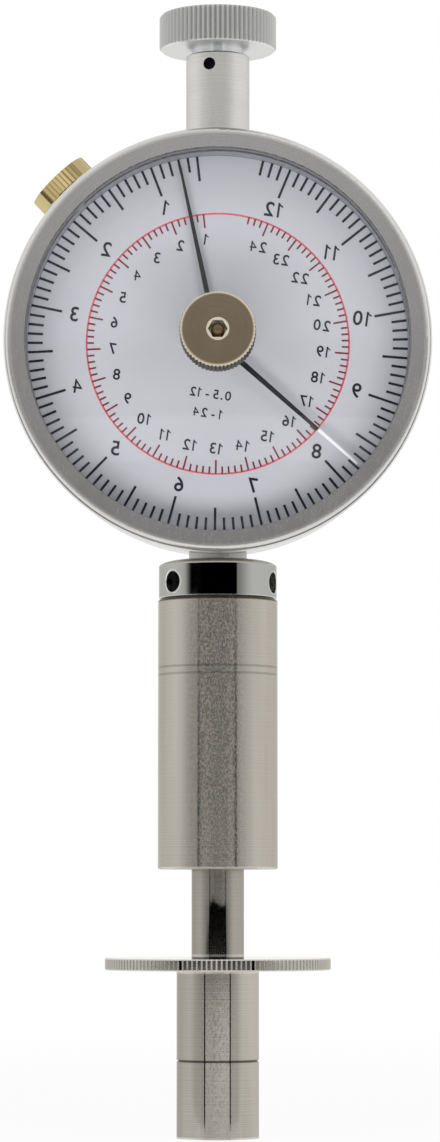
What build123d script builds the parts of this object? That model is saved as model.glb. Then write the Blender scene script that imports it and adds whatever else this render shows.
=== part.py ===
from build123d import *
import os
from math import acos, atan2, cos, pi, radians, sin, sqrt, tan

# Hand-held hardness tester for fruit: a flat-ended steel tip pushes a sprung rod up a barrel,
# and a rack on the rod turns a gear train that drives the pointer of a round dial.
# Millimetres. The origin is the centre of the tip's end face, the column stands along +Z,
# and the dial faces -Y. Heights on the case are counted from the column's axis towards the dial.

os.makedirs("parts", exist_ok=True)

# ---- fits
running_gap = 0.05        # radial clearance of a shaft that turns or slides in its hole
seat_gap = 0.02           # radial clearance of a piece fixed in its seat
end_gap = 0.1             # axial clearance between a moving piece and its stop
edge_break = 0.2          # small chamfer on turned edges

# ---- plunger
travel = 10.0             # stroke of the plunger
tip_diameter = 11.28      # end face of one square centimetre
tip_length = 22.8
tip_mark_height = 10.5    # depth groove, above the end face
tip_mark_width = 0.25
tip_mark_depth = 0.15
flange_diameter = 30.9
flange_thickness = 1.6
flange_teeth = 136
flange_tooth_depth = 0.25
rod_diameter = 7.2
rod_exposed = 12.1        # rod between flange and barrel at rest
rod_spigot_diameter = 5.0
rod_spigot_length = 9.0
rod_head_room = 1.0       # left between rod and washer at full stroke
rack_stub_diameter = 3.2
rack_stub_length = 6.0
spring_seat_diameter = 12.4
spring_seat_thickness = 2.0

# ---- barrel and collar
barrel_diameter = 16.45
barrel_length = 37.0
barrel_bore = 13.0
barrel_floor = 3.0
guide_diameter = 9.6
guide_flange_thickness = 0.8
collar_diameter = 16.25
collar_height = 4.56
collar_crown = 0.84
collar_crown_diameter = 10.9
collar_spigot_length = 4.5
grub_diameter = 2.9
grub_length = 2.3
grub_socket = 1.3
grub_height = 2.15        # above the collar's lower edge
grub_angles = (-50.0, 70.0, 190.0)   # from the dial side, towards +X
neck_diameter = 8.0
neck_exposed = 0.85
neck_engagement = 3.7     # length of the neck below the collar's lower edge
neck_case_reach = 0.4     # how far the neck stands inside the case's bore
washer_thickness = 1.0
washer_clearance = 0.3    # radial, around the rack bar

# ---- main spring
spring_mean_diameter = 10.2
spring_wire = 1.3
spring_turns = 7.0

# ---- case
case_front_radius = 29.2
case_taper = 1.1          # how much the radius loses from front to back
case_front = 9.8
case_back = -9.5
case_edge_radius = 1.2
case_rim = 1.65           # wall around the bezel's skirt
case_wall = 2.6           # wall behind the bezel, from the front radius
bezel_seat = 4.1          # height of the ledge behind the bezel's skirt
flange_width = 4.0        # inward flange that carries cover and movement
flange_front = -5.0
cover_thickness = 1.4
cover_rim = 2.65          # case metal around the cover
cover_screws = 4
cover_screw_angle = 45.0
cover_screw_margin = 0.3  # between a screw's head and the cover's edge
cover_dish_depth = 0.4
screw_head_diameter = 2.4
screw_shank_diameter = 1.4
screw_head_height = 0.8
screw_shank_length = 2.2
screw_slot = 0.4

# ---- bezel, dial and crystal
bezel_setback = 0.35      # how much smaller the bezel is than the case's front
bezel_lip = 2.55          # width of the lip's flat face and rounded edge
bezel_rim_gap = 0.3       # groove between bezel and case
bezel_rim = 1.0           # height of the bezel's outer edge
bezel_edge_radius = 0.5
skirt_wall = 0.65
skirt_end_gap = 0.2       # between the skirt and the ledge
lip_thickness = 1.2
retainer_thickness = 0.6
retainer_width = 1.6
dial_thickness = 0.4
dial_hole = 2.6
ring_width = 0.7
crystal_edge_thickness = 1.2
crystal_rise = 2.8
dome_setback = 0.2        # between the dome's edge and the lip
gasket_thickness = 0.3
gasket_overhang = 0.15

# ---- reset knob and pointers
knob_diameter = 10.3
knob_face_diameter = 9.4
knob_gap = 0.5            # between the bush's flange and the knob
knob_length = 6.0
knob_teeth = 60
knob_tooth_depth = 0.2
sleeve_diameter = 3.1
sleeve_length = 2.2
hex_across_flats = 2.3
spindle_diameter = 1.8
spindle_recess = 0.1      # below the knob's face
spindle_round = 0.5       # height of the spindle's rounded end
bush_diameter = 4.0
bush_flange_diameter = 7.0
bush_flange_thickness = 0.9
bush_nut_thickness = 0.9
bush_nut_gap = 0.15       # between the nut and the crystal's underside
peak_rise = 1.8           # hand above the dial's face
peak_tip_gap = 0.7        # between the hand's end and the spacer ring
peak_tail = 6.0
peak_angle = 228.5        # from straight up, anticlockwise as seen
pointer_rise = 0.8
pointer_tip_gap = 0.9
pointer_tail = 3.6
pointer_angle = 12.0      # from straight up, anticlockwise as seen
blade_thickness = 0.2
blade_root_width = 0.85
blade_tip_width = 0.33
blade_tail_width = 1.1
hub_diameter = 4.4
collet_diameter = 3.2
collet_neck = 2.0
hub_rise = 0.4            # driven hand's collet above its blade
hub_drop = 0.5            # and below it
peak_hub_drop = 0.15      # peak hand's collet below its blade

# ---- movement
module = 0.5
pressure_angle = 20.0
addendum = 0.45
rack_addendum = 0.38
dedendum = 0.6
flank_start = 0.05        # least height of a flank's foot above the root
backlash = 0.09
rack_pinion_teeth = 14
idler_teeth = 38
centre_teeth = 18
rack_pitch_line = 2.0     # from the column's axis
rack_gap_count = 9        # from the gap in mesh at rest downwards
rack_bar_diameter = 5.0
rack_flat_height = 1.2
rack_end_gap = 0.3        # to the arbor above and the idler wheel in front
gear_rear_gap = 0.5       # between the rack's flat and the wheels
gear_width = 1.0
gear_front_gap = 0.3      # between the wheels and the front plate
rack_pinion_width = 2.8
plate_margin = 2.6        # plate metal outside the pillars' centres
plate_thickness = 1.0
back_plate_gap = 1.7      # between the rear plate and the case's wall
back_plate_screws = 3
back_plate_screw_angle = 90.0
pillar_reach = 2.0        # pillars' circle outside the idler's centre
pillar_angles = (30.0, 150.0, 225.0)
pillar_diameter = 4.0
pillar_rivet_diameter = 2.2
pivot_diameter = 1.2
arbor_diameter = 2.2

# ---- upper stem and handle
stem_diameter = 8.8
stem_exposed = 12.35
stem_seat_depth = 1.0     # how far the full diameter enters the case
stem_spigot_diameter = 6.4
stem_spigot_length = 1.45
stem_bore = 5.0
stem_screw_diameter = 1.7
stem_screw_angle = -15.8  # from the dial side, towards +X
stem_screw_drop = 1.8     # below the stem's top
handle_neck_diameter = 7.2
handle_neck_height = 0.8
handle_diameter = 16.25
handle_height = 4.9
handle_teeth = 72
handle_tooth_depth = 0.35
handle_stud_depth = 9.0
handle_stud_rise = 3.0

# ---- bezel lock screw
lock_angle = 43.75        # from straight up, towards -X
lock_height = 2.4
lock_knob_diameter = 9.1
lock_knob_gap = 0.55      # between the case's front radius and the knob
lock_knob_thickness = 2.25
lock_teeth = 40
lock_tooth_depth = 0.25
lock_stud_diameter = 2.6
lock_shoulder_diameter = 4.4
lock_shoulder_length = 0.6
shoe_width = 5.0
shoe_thickness = 1.8
shoe_wall_gap = 0.4
stud_overhang = 0.6       # end of the stud inside the shoe

# ---- heights worked out from the sizes above
flange_top = tip_length + flange_thickness
barrel_bottom = flange_top + rod_exposed
barrel_top = barrel_bottom + barrel_length
barrel_inner_floor = barrel_bottom + barrel_floor
collar_shoulder = barrel_top + collar_height
collar_top = collar_shoulder + collar_crown
collar_bottom = barrel_top - collar_spigot_length
case_back_radius = case_front_radius - case_taper
case_draft = case_taper / (case_front - case_back)
case_bore_radius = case_front_radius - case_wall
flange_inner_radius = case_bore_radius - flange_width
cover_radius = case_back_radius - cover_rim - running_gap
cover_screw_circle = cover_radius - screw_head_diameter / 2 - cover_screw_margin
back_plate_radius = case_bore_radius - back_plate_gap
skirt_radius = case_front_radius - case_rim - running_gap
skirt_bore = skirt_radius - skirt_wall
skirt_rear = bezel_seat + skirt_end_gap
bezel_radius = case_front_radius - bezel_setback
bezel_lip_radius = bezel_radius - bezel_lip
bezel_rear = case_front + bezel_rim_gap
bezel_front = bezel_rear + bezel_rim
dial_radius = skirt_bore - running_gap
ring_bore = dial_radius - ring_width
retainer_bore = dial_radius - retainer_width
crystal_radius = skirt_bore - 2 * running_gap


# Outer radius of the tapered case at a height towards the dial.
def case_radius_at(height):
    return case_back_radius + case_draft * (height - case_back)


case_centre = collar_top + neck_exposed + case_radius_at(0)
stem_bottom = case_centre + case_radius_at(0) - stem_seat_depth
stem_top = case_centre + case_radius_at(0) + stem_exposed
handle_bottom = stem_top + handle_neck_height
handle_top = handle_bottom + handle_height
neck_bottom = barrel_top - neck_engagement
neck_top = case_centre - case_bore_radius + neck_case_reach
seat_bottom = barrel_inner_floor + guide_flange_thickness + end_gap
seat_top = seat_bottom + spring_seat_thickness
washer_bottom = collar_bottom - washer_thickness
back_plate_front = flange_front + plate_thickness
gear_height = rack_flat_height + gear_rear_gap
front_plate_height = gear_height + gear_width + gear_front_gap
front_plate_front = front_plate_height + plate_thickness
dial_rear = skirt_rear + retainer_thickness
dial_face = dial_rear + dial_thickness
pointer_height = dial_face + pointer_rise
pointer_reach = ring_bore - pointer_tip_gap
peak_height = dial_face + peak_rise
peak_reach = ring_bore - peak_tip_gap
crystal_edge = bezel_front - lip_thickness - gasket_thickness
crystal_rear = crystal_edge - crystal_edge_thickness
crystal_curve = (crystal_radius**2 + crystal_rise**2) / (2 * crystal_rise)

# ---- gear centres, in the dial plane from the case's centre
rack_pinion_pitch_radius = module * rack_pinion_teeth / 2
idler_pitch_radius = module * idler_teeth / 2
centre_pitch_radius = module * centre_teeth / 2
gear_distance = idler_pitch_radius + centre_pitch_radius
idler_x = rack_pitch_line + rack_pinion_pitch_radius
idler_drop = sqrt(gear_distance**2 - idler_x**2)
pillar_circle = gear_distance + pillar_reach
plate_radius = pillar_circle + plate_margin
idler_z = case_centre - idler_drop
mesh_angle = atan2(idler_drop, -idler_x)   # from the idler's centre to the centre pinion's

case_section = Plane(origin=(0, 0, case_centre), x_dir=(1, 0, 0), z_dir=(0, 0, -1))
case_axis = Axis((0, 0, case_centre), (0, -1, 0))


# Plane parallel to the dial, centred on a point of the dial plane.
def facing(height, x=0.0, drop=0.0):
    return Plane(origin=(x, -height, case_centre - drop), x_dir=(1, 0, 0), z_dir=(0, -1, 0))


# Plane square to a radial direction of the column, counted from the dial side towards +X.
def radial_plane(angle, radius, height):
    outward = Vector(sin(radians(angle)), -cos(radians(angle)), 0)
    return Plane(origin=outward * radius + Vector(0, 0, height), x_dir=(0, 0, 1), z_dir=outward)


# Outline of a straight knurl: pointed crests and roots in turn.
def knurl_points(count, radius, depth):
    points = []
    for tooth in range(count):
        crest = 2 * pi * tooth / count
        root = crest + pi / count
        points.append((radius * cos(crest), radius * sin(crest)))
        points.append(((radius - depth) * cos(root), (radius - depth) * sin(root)))
    return points


# Outline of an involute gear, with the centre line of one tooth at the given angle.
def gear_points(teeth, first_tooth):
    pitch_radius = module * teeth / 2
    slope = radians(pressure_angle)
    base_radius = pitch_radius * cos(slope)
    root_radius = pitch_radius - dedendum
    tip_radius = pitch_radius + addendum
    start_radius = max(base_radius, root_radius + flank_start)
    half_tooth = pi / (2 * teeth) - backlash / (4 * pitch_radius) + tan(slope) - slope
    flank = []
    for radius in (root_radius, start_radius, (start_radius + tip_radius) / 2, tip_radius):
        roll = acos(min(1.0, base_radius / radius))
        flank.append((radius, half_tooth - (tan(roll) - roll)))
    points = []
    for tooth in range(teeth):
        middle = first_tooth + 2 * pi * tooth / teeth
        points += [(r * cos(middle - turn), r * sin(middle - turn)) for r, turn in flank]
        points += [(r * cos(middle + turn), r * sin(middle + turn)) for r, turn in reversed(flank)]
    return points


# ================= plunger =================

# Flat-ended tip with a depth groove and a socket for the rod's spigot.
with BuildPart() as probe_tip:
    Cylinder(tip_diameter / 2, tip_length, align=(Align.CENTER, Align.CENTER, Align.MIN))
    chamfer(probe_tip.edges().group_by(Axis.Z)[-1], edge_break)
    with BuildSketch(Plane.XY.offset(tip_mark_height - tip_mark_width / 2)):
        Circle(tip_diameter / 2)
        Circle(tip_diameter / 2 - tip_mark_depth, mode=Mode.SUBTRACT)
    extrude(amount=tip_mark_width, mode=Mode.SUBTRACT)
    with BuildSketch(Plane.XY.offset(tip_length)):
        Circle(rod_spigot_diameter / 2 + seat_gap)
    extrude(amount=-(rod_spigot_length - flange_thickness + end_gap), mode=Mode.SUBTRACT)
probe_tip.part.label = "probe_tip"
export_step(probe_tip.part, "parts/probe_tip.step")

# Straight-knurled stop flange clamped between the tip and the rod's shoulder.
with BuildPart() as stop_flange:
    with BuildSketch(Plane.XY.offset(tip_length)):
        with BuildLine():
            Polyline(*knurl_points(flange_teeth, flange_diameter / 2, flange_tooth_depth), close=True)
        make_face()
        Circle(rod_spigot_diameter / 2 + seat_gap, mode=Mode.SUBTRACT)
    extrude(amount=flange_thickness)
stop_flange.part.label = "stop_flange"
export_step(stop_flange.part, "parts/stop_flange.step")

# Rod with a spigot into the tip at its foot and a socket for the rack bar at its head.
rod_top = collar_bottom - washer_thickness - travel - rod_head_room
rack_bar_bottom = rod_top - rack_stub_length
with BuildPart() as plunger_rod:
    with BuildSketch(Plane.XY.offset(flange_top)):
        Circle(rod_diameter / 2)
    extrude(amount=rod_top - flange_top)
    chamfer(plunger_rod.edges().group_by(Axis.Z)[-1], edge_break)
    with BuildSketch(Plane.XY.offset(flange_top)):
        Circle(rod_spigot_diameter / 2)
    extrude(amount=-rod_spigot_length)
    with BuildSketch(Plane.XY.offset(rod_top)):
        Circle(rack_stub_diameter / 2 + seat_gap)
    extrude(amount=rack_bar_bottom - rod_top, mode=Mode.SUBTRACT)
plunger_rod.part.label = "plunger_rod"
export_step(plunger_rod.part, "parts/plunger_rod.step")

# Collar on the rod that carries the main spring and stops the rod on the guide bush.
with BuildPart() as spring_seat:
    with BuildSketch(Plane.XY.offset(seat_bottom)):
        Circle(spring_seat_diameter / 2)
        Circle(rod_diameter / 2 + seat_gap, mode=Mode.SUBTRACT)
    extrude(amount=spring_seat_thickness)
    chamfer(spring_seat.edges().filter_by(GeomType.CIRCLE).group_by(SortBy.RADIUS)[-1], edge_break)
spring_seat.part.label = "spring_seat"
export_step(spring_seat.part, "parts/spring_seat.step")

# Rack bar: a round bar with a flat towards the dial and teeth cut in its side.
rack_top = case_centre - arbor_diameter / 2 - travel - rack_end_gap
rack_flat_bottom = idler_z - idler_pitch_radius - addendum - travel - rack_end_gap
tooth_pitch = pi * module
rack_gap_half = tooth_pitch / 4 + backlash / 4
rack_flare = tan(radians(pressure_angle))
rack_gap_places = [(rack_pitch_line, idler_z - gap * tooth_pitch) for gap in range(-1, rack_gap_count)]
with BuildPart() as rack_bar:
    with BuildSketch(Plane.XY.offset(rack_bar_bottom + end_gap)):
        Circle(rack_stub_diameter / 2)
    extrude(amount=rod_top - rack_bar_bottom - end_gap)
    with BuildSketch(Plane.XY.offset(rod_top)):
        Circle(rack_bar_diameter / 2)
    extrude(amount=rack_top - rod_top)
    with BuildSketch(Plane.XY.offset(rack_flat_bottom)):
        with Locations((0, -rack_flat_height)):
            Rectangle(rack_bar_diameter, rack_bar_diameter, align=(Align.CENTER, Align.MAX))
        with Locations((rack_pitch_line + rack_addendum, 0)):
            Rectangle(rack_bar_diameter, 2 * rack_bar_diameter, align=(Align.MIN, Align.CENTER))
    extrude(amount=rack_top - rack_flat_bottom, mode=Mode.SUBTRACT)
    with BuildSketch(Plane.XZ):
        with Locations(*rack_gap_places):
            Polygon(
                (-dedendum, -rack_gap_half + dedendum * rack_flare),
                (rack_addendum * 2, -rack_gap_half - rack_addendum * 2 * rack_flare),
                (rack_addendum * 2, rack_gap_half + rack_addendum * 2 * rack_flare),
                (-dedendum, rack_gap_half - dedendum * rack_flare),
                align=None,
            )
    extrude(amount=rack_bar_diameter, both=True, mode=Mode.SUBTRACT)
rack_bar.part.label = "rack_bar"
export_step(rack_bar.part, "parts/rack_bar.step")


# ================= barrel and neck =================

# Spring barrel: a tube with a floor that holds the guide bush.
with BuildPart() as barrel:
    with BuildSketch(Plane.XY.offset(barrel_bottom)):
        Circle(barrel_diameter / 2)
    extrude(amount=barrel_length)
    chamfer(barrel.edges().filter_by(GeomType.CIRCLE), edge_break)
    with BuildSketch(Plane.XY.offset(barrel_inner_floor)):
        Circle(barrel_bore / 2)
    extrude(amount=barrel_top - barrel_inner_floor, mode=Mode.SUBTRACT)
    with BuildSketch(Plane.XY.offset(barrel_bottom)):
        Circle(guide_diameter / 2 + seat_gap)
    extrude(amount=barrel_floor, mode=Mode.SUBTRACT)
barrel.part.label = "barrel"
export_step(barrel.part, "parts/barrel.step")

# Flanged bush in the barrel's floor, in which the rod slides.
with BuildPart() as guide_bush:
    with BuildSketch(Plane.XY.offset(barrel_bottom)):
        Circle(guide_diameter / 2)
    extrude(amount=barrel_floor)
    with BuildSketch(Plane.XY.offset(barrel_inner_floor)):
        Circle(spring_seat_diameter / 2)
    extrude(amount=guide_flange_thickness)
    with BuildSketch(Plane.XY.offset(barrel_bottom)):
        Circle(rod_diameter / 2 + running_gap)
    extrude(amount=barrel_floor + guide_flange_thickness, mode=Mode.SUBTRACT)
guide_bush.part.label = "guide_bush"
export_step(guide_bush.part, "parts/guide_bush.step")

# Washer under the collar's spigot that takes the spring's upper end.
with BuildPart() as spring_washer:
    with BuildSketch(Plane.XY.offset(washer_bottom)):
        Circle(spring_seat_diameter / 2)
        Circle(rack_bar_diameter / 2 + washer_clearance, mode=Mode.SUBTRACT)
    extrude(amount=washer_thickness)
spring_washer.part.label = "spring_washer"
export_step(spring_washer.part, "parts/spring_washer.step")

# Main spring of square wire, standing on the spring seat.
spring_height = washer_bottom - seat_top - spring_wire
with BuildPart() as main_spring:
    with BuildLine(Plane.XY.offset(seat_top + spring_wire / 2)) as spring_line:
        Helix(spring_height / spring_turns, spring_height, spring_mean_diameter / 2)
    with BuildSketch(Plane(spring_line.line @ 0, z_dir=spring_line.line % 0)):
        Rectangle(spring_wire, spring_wire)
    sweep(is_frenet=True)
main_spring.part.label = "main_spring"
export_step(main_spring.part, "parts/main_spring.step")

# Polished lock collar with a crowned top, a spigot into the barrel and radial grub holes.
with BuildPart() as lock_collar:
    with BuildSketch(Plane.XZ):
        with BuildLine():
            Polyline(
                (neck_diameter / 2 + seat_gap, collar_bottom),
                (barrel_bore / 2 - seat_gap, collar_bottom),
                (barrel_bore / 2 - seat_gap, barrel_top),
                (collar_diameter / 2 - edge_break, barrel_top),
                (collar_diameter / 2, barrel_top + edge_break),
                (collar_diameter / 2, collar_shoulder),
            )
            Spline(
                (collar_diameter / 2, collar_shoulder),
                (collar_crown_diameter / 2, collar_top),
                tangents=[(-0.25, 1), (-1, 0.05)],
                tangent_scalars=[0.5, 1.0],
            )
            Polyline(
                (collar_crown_diameter / 2, collar_top),
                (neck_diameter / 2 + seat_gap, collar_top),
                (neck_diameter / 2 + seat_gap, collar_bottom),
            )
        make_face()
    revolve(axis=Axis.Z)
    for angle in grub_angles:
        with BuildSketch(radial_plane(angle, 0, barrel_top + grub_height)):
            Circle(grub_diameter / 2 + seat_gap)
        extrude(amount=collar_diameter, mode=Mode.SUBTRACT)
lock_collar.part.label = "lock_collar"
export_step(lock_collar.part, "parts/lock_collar.step")

# Grub screws that clamp the collar on the neck.
for number, angle in enumerate(grub_angles, start=1):
    with BuildPart() as grub_screw:
        with BuildSketch(radial_plane(angle, neck_diameter / 2 + seat_gap, barrel_top + grub_height)):
            Circle(grub_diameter / 2)
        extrude(amount=grub_length)
        with BuildSketch(radial_plane(
                angle, neck_diameter / 2 + seat_gap + grub_length, barrel_top + grub_height)):
            RegularPolygon(grub_socket / 2, 6, major_radius=False)
        extrude(amount=-grub_length / 2, mode=Mode.SUBTRACT)
    grub_screw.part.label = f"grub_screw_{number}"
    export_step(grub_screw.part, f"parts/grub_screw_{number}.step")

# Neck between case and collar, bored for the rack bar.
with BuildPart() as neck_bush:
    with BuildSketch(Plane.XY.offset(neck_bottom)):
        Circle(neck_diameter / 2)
        Circle(rack_bar_diameter / 2 + running_gap, mode=Mode.SUBTRACT)
    extrude(amount=neck_top - neck_bottom)
    chamfer(neck_bush.edges().group_by(Axis.Z)[0].sort_by(SortBy.RADIUS)[-1], edge_break)
neck_bush.part.label = "neck_bush"
export_step(neck_bush.part, "parts/neck_bush.step")


# ================= case =================

# Tapered case ring with a ledge behind the bezel and a flange that carries cover and movement.
flange_rear = case_back + cover_thickness
lock_direction = Vector(-sin(radians(lock_angle)), 0, cos(radians(lock_angle)))
with BuildPart() as case_body:
    with BuildSketch(case_section):
        with BuildLine():
            Polyline(
                (skirt_radius + running_gap, case_front),
                (case_front_radius, case_front),
                (case_back_radius, case_back),
                (cover_radius + running_gap, case_back),
                (cover_radius + running_gap, flange_rear),
                (flange_inner_radius, flange_rear),
                (flange_inner_radius, flange_front),
                (case_bore_radius, flange_front),
                (case_bore_radius, bezel_seat),
                (skirt_radius + running_gap, bezel_seat),
                close=True,
            )
        make_face()
    revolve(axis=case_axis)
    rear_edges = case_body.edges().filter_by(GeomType.CIRCLE).group_by(Axis.Y)[-1]
    fillet(rear_edges.sort_by(SortBy.RADIUS)[-1], case_edge_radius)
    front_edges = case_body.edges().filter_by(GeomType.CIRCLE).group_by(Axis.Y)[0]
    chamfer(front_edges.sort_by(SortBy.RADIUS)[-1], edge_break)
    with BuildSketch(Plane.XY.offset(case_centre)):
        Circle(neck_diameter / 2 + seat_gap)
    extrude(amount=-case_front_radius, mode=Mode.SUBTRACT)
    with BuildSketch(Plane.XY.offset(case_centre)):
        Circle(stem_spigot_diameter / 2 + seat_gap)
    extrude(amount=case_front_radius, mode=Mode.SUBTRACT)
    with BuildSketch(Plane.XY.offset(stem_bottom)):
        Circle(stem_diameter / 2 + seat_gap)
    extrude(amount=case_front_radius, mode=Mode.SUBTRACT)
    with BuildSketch(Plane(origin=(0, -lock_height, case_centre), z_dir=lock_direction)):
        Circle(lock_stud_diameter / 2 + running_gap)
    extrude(amount=case_front_radius, mode=Mode.SUBTRACT)
    with BuildSketch(facing(flange_rear)):
        with PolarLocations(cover_screw_circle, cover_screws, cover_screw_angle):
            Circle(screw_shank_diameter / 2 + seat_gap)
    extrude(amount=screw_shank_length, mode=Mode.SUBTRACT)
    with BuildSketch(facing(flange_front)):
        with PolarLocations(cover_screw_circle, back_plate_screws, back_plate_screw_angle):
            Circle(screw_shank_diameter / 2 + seat_gap)
    extrude(amount=-screw_shank_length, mode=Mode.SUBTRACT)
case_body.part.label = "case_body"
export_step(case_body.part, "parts/case_body.step")

# Back cover with a shallow turned dish and sunk screw heads.
cover_screw_height = case_back + screw_head_height
with BuildPart() as back_cover:
    with BuildSketch(facing(case_back)):
        Circle(cover_radius)
    extrude(amount=cover_thickness)
    chamfer(back_cover.edges().group_by(Axis.Y)[-1], edge_break)
    with BuildSketch(facing(case_back)):
        Circle(cover_screw_circle - screw_head_diameter)
    extrude(amount=cover_dish_depth, mode=Mode.SUBTRACT)
    with BuildSketch(facing(case_back)):
        with PolarLocations(cover_screw_circle, cover_screws, cover_screw_angle):
            Circle(screw_shank_diameter / 2 + seat_gap)
    extrude(amount=cover_thickness, mode=Mode.SUBTRACT)
    with BuildSketch(facing(case_back)):
        with PolarLocations(cover_screw_circle, cover_screws, cover_screw_angle):
            Circle(screw_head_diameter / 2 + seat_gap)
    extrude(amount=screw_head_height, mode=Mode.SUBTRACT)
back_cover.part.label = "back_cover"
export_step(back_cover.part, "parts/back_cover.step")


# Position of one of a ring of screws, as x and z from the case's centre.
def screw_place(radius, index, count, start):
    angle = radians(start + 360 * index / count)
    return radius * cos(angle), radius * sin(angle)


# Slotted screws of the back cover.
for number in range(cover_screws):
    screw_x, screw_z = screw_place(cover_screw_circle, number, cover_screws, cover_screw_angle)
    with BuildPart() as cover_screw:
        with BuildSketch(facing(case_back, screw_x, -screw_z)):
            Circle(screw_head_diameter / 2)
        extrude(amount=screw_head_height)
        with BuildSketch(facing(cover_screw_height, screw_x, -screw_z)):
            Circle(screw_shank_diameter / 2)
        extrude(amount=screw_shank_length)
        with BuildSketch(facing(case_back, screw_x, -screw_z)):
            Rectangle(screw_head_diameter, screw_slot)
        extrude(amount=screw_head_height / 2, mode=Mode.SUBTRACT)
    cover_screw.part.label = f"cover_screw_{number + 1}"
    export_step(cover_screw.part, f"parts/cover_screw_{number + 1}.step")

# ================= movement =================

# Rear plate of the movement, screwed on the case's flange.
with BuildPart() as back_plate:
    with BuildSketch(facing(flange_front)):
        Circle(back_plate_radius)
        Circle(pivot_diameter / 2 + running_gap, mode=Mode.SUBTRACT)
        with Locations((idler_x, -idler_drop)):
            Circle(pivot_diameter / 2 + running_gap, mode=Mode.SUBTRACT)
        for angle in pillar_angles:
            with PolarLocations(pillar_circle, 1, angle):
                Circle(pillar_rivet_diameter / 2 + seat_gap, mode=Mode.SUBTRACT)
        with PolarLocations(cover_screw_circle, back_plate_screws, back_plate_screw_angle):
            Circle(screw_shank_diameter / 2 + seat_gap, mode=Mode.SUBTRACT)
    extrude(amount=plate_thickness)
back_plate.part.label = "back_plate"
export_step(back_plate.part, "parts/back_plate.step")

# Front plate of the movement on three pillars.
with BuildPart() as front_plate:
    with BuildSketch(facing(front_plate_height)):
        Circle(plate_radius)
        Circle(pivot_diameter / 2 + running_gap, mode=Mode.SUBTRACT)
        with Locations((idler_x, -idler_drop)):
            Circle(pivot_diameter / 2 + running_gap, mode=Mode.SUBTRACT)
        for angle in pillar_angles:
            with PolarLocations(pillar_circle, 1, angle):
                Circle(screw_shank_diameter / 2 + seat_gap, mode=Mode.SUBTRACT)
    extrude(amount=plate_thickness)
front_plate.part.label = "front_plate"
export_step(front_plate.part, "parts/front_plate.step")

# Pillars riveted in the rear plate and tapped for the front screws.
for number, angle in enumerate(pillar_angles, start=1):
    pillar_x = pillar_circle * cos(radians(angle))
    pillar_z = pillar_circle * sin(radians(angle))
    with BuildPart() as pillar:
        with BuildSketch(facing(flange_front, pillar_x, -pillar_z)):
            Circle(pillar_rivet_diameter / 2)
        extrude(amount=plate_thickness)
        with BuildSketch(facing(back_plate_front, pillar_x, -pillar_z)):
            Circle(pillar_diameter / 2)
        extrude(amount=front_plate_height - back_plate_front)
        with BuildSketch(facing(front_plate_height, pillar_x, -pillar_z)):
            Circle(screw_shank_diameter / 2 + seat_gap)
        extrude(amount=-screw_shank_length, mode=Mode.SUBTRACT)
    pillar.part.label = f"pillar_{number}"
    export_step(pillar.part, f"parts/pillar_{number}.step")

    with BuildPart() as plate_screw:
        with BuildSketch(facing(front_plate_front, pillar_x, -pillar_z)):
            Circle(screw_head_diameter / 2)
        extrude(amount=screw_head_height / 2)
        with BuildSketch(facing(front_plate_front, pillar_x, -pillar_z)):
            Circle(screw_shank_diameter / 2)
        extrude(amount=-screw_shank_length)
    plate_screw.part.label = f"plate_screw_{number}"
    export_step(plate_screw.part, f"parts/plate_screw_{number}.step")

# Screws that hold the rear plate on the flange.
for number in range(back_plate_screws):
    screw_x, screw_z = screw_place(
        cover_screw_circle, number, back_plate_screws, back_plate_screw_angle)
    with BuildPart() as flange_screw:
        with BuildSketch(facing(back_plate_front, screw_x, -screw_z)):
            Circle(screw_head_diameter / 2)
        extrude(amount=screw_head_height)
        with BuildSketch(facing(back_plate_front, screw_x, -screw_z)):
            Circle(screw_shank_diameter / 2)
        extrude(amount=-screw_shank_length)
    flange_screw.part.label = f"flange_screw_{number + 1}"
    export_step(flange_screw.part, f"parts/flange_screw_{number + 1}.step")

# Arbor of the pointer: pivots in both plates and a long front end that carries the pointer.
arbor_rear = back_plate_front + end_gap
arbor_front = front_plate_height - end_gap
pointer_hub_front = pointer_height + blade_thickness + hub_rise
pointer_hub_rear = pointer_height - hub_drop
with BuildPart() as centre_arbor:
    with BuildSketch(facing(flange_front + end_gap)):
        Circle(pivot_diameter / 2)
    extrude(amount=plate_thickness)
    with BuildSketch(facing(arbor_rear)):
        Circle(arbor_diameter / 2)
    extrude(amount=arbor_front - arbor_rear)
    with BuildSketch(facing(arbor_front)):
        Circle(pivot_diameter / 2)
    extrude(amount=pointer_hub_front - arbor_front)
centre_arbor.part.label = "centre_arbor"
export_step(centre_arbor.part, "parts/centre_arbor.step")

# Arbor of the intermediate wheels.
with BuildPart() as idler_arbor:
    with BuildSketch(facing(flange_front + end_gap, idler_x, idler_drop)):
        Circle(pivot_diameter / 2)
    extrude(amount=plate_thickness)
    with BuildSketch(facing(arbor_rear, idler_x, idler_drop)):
        Circle(arbor_diameter / 2)
    extrude(amount=arbor_front - arbor_rear)
    with BuildSketch(facing(arbor_front, idler_x, idler_drop)):
        Circle(pivot_diameter / 2)
    extrude(amount=plate_thickness)
idler_arbor.part.label = "idler_arbor"
export_step(idler_arbor.part, "parts/idler_arbor.step")

# Pinion on the pointer's arbor, with a tooth gap on the line to the idler's centre.
centre_gap_angle = mesh_angle + pi + pi / centre_teeth
with BuildPart() as centre_pinion:
    with BuildSketch(facing(gear_height)):
        with BuildLine():
            Polyline(*gear_points(centre_teeth, centre_gap_angle), close=True)
        make_face()
        Circle(arbor_diameter / 2 + seat_gap, mode=Mode.SUBTRACT)
    extrude(amount=gear_width)
centre_pinion.part.label = "centre_pinion"
export_step(centre_pinion.part, "parts/centre_pinion.step")

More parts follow.
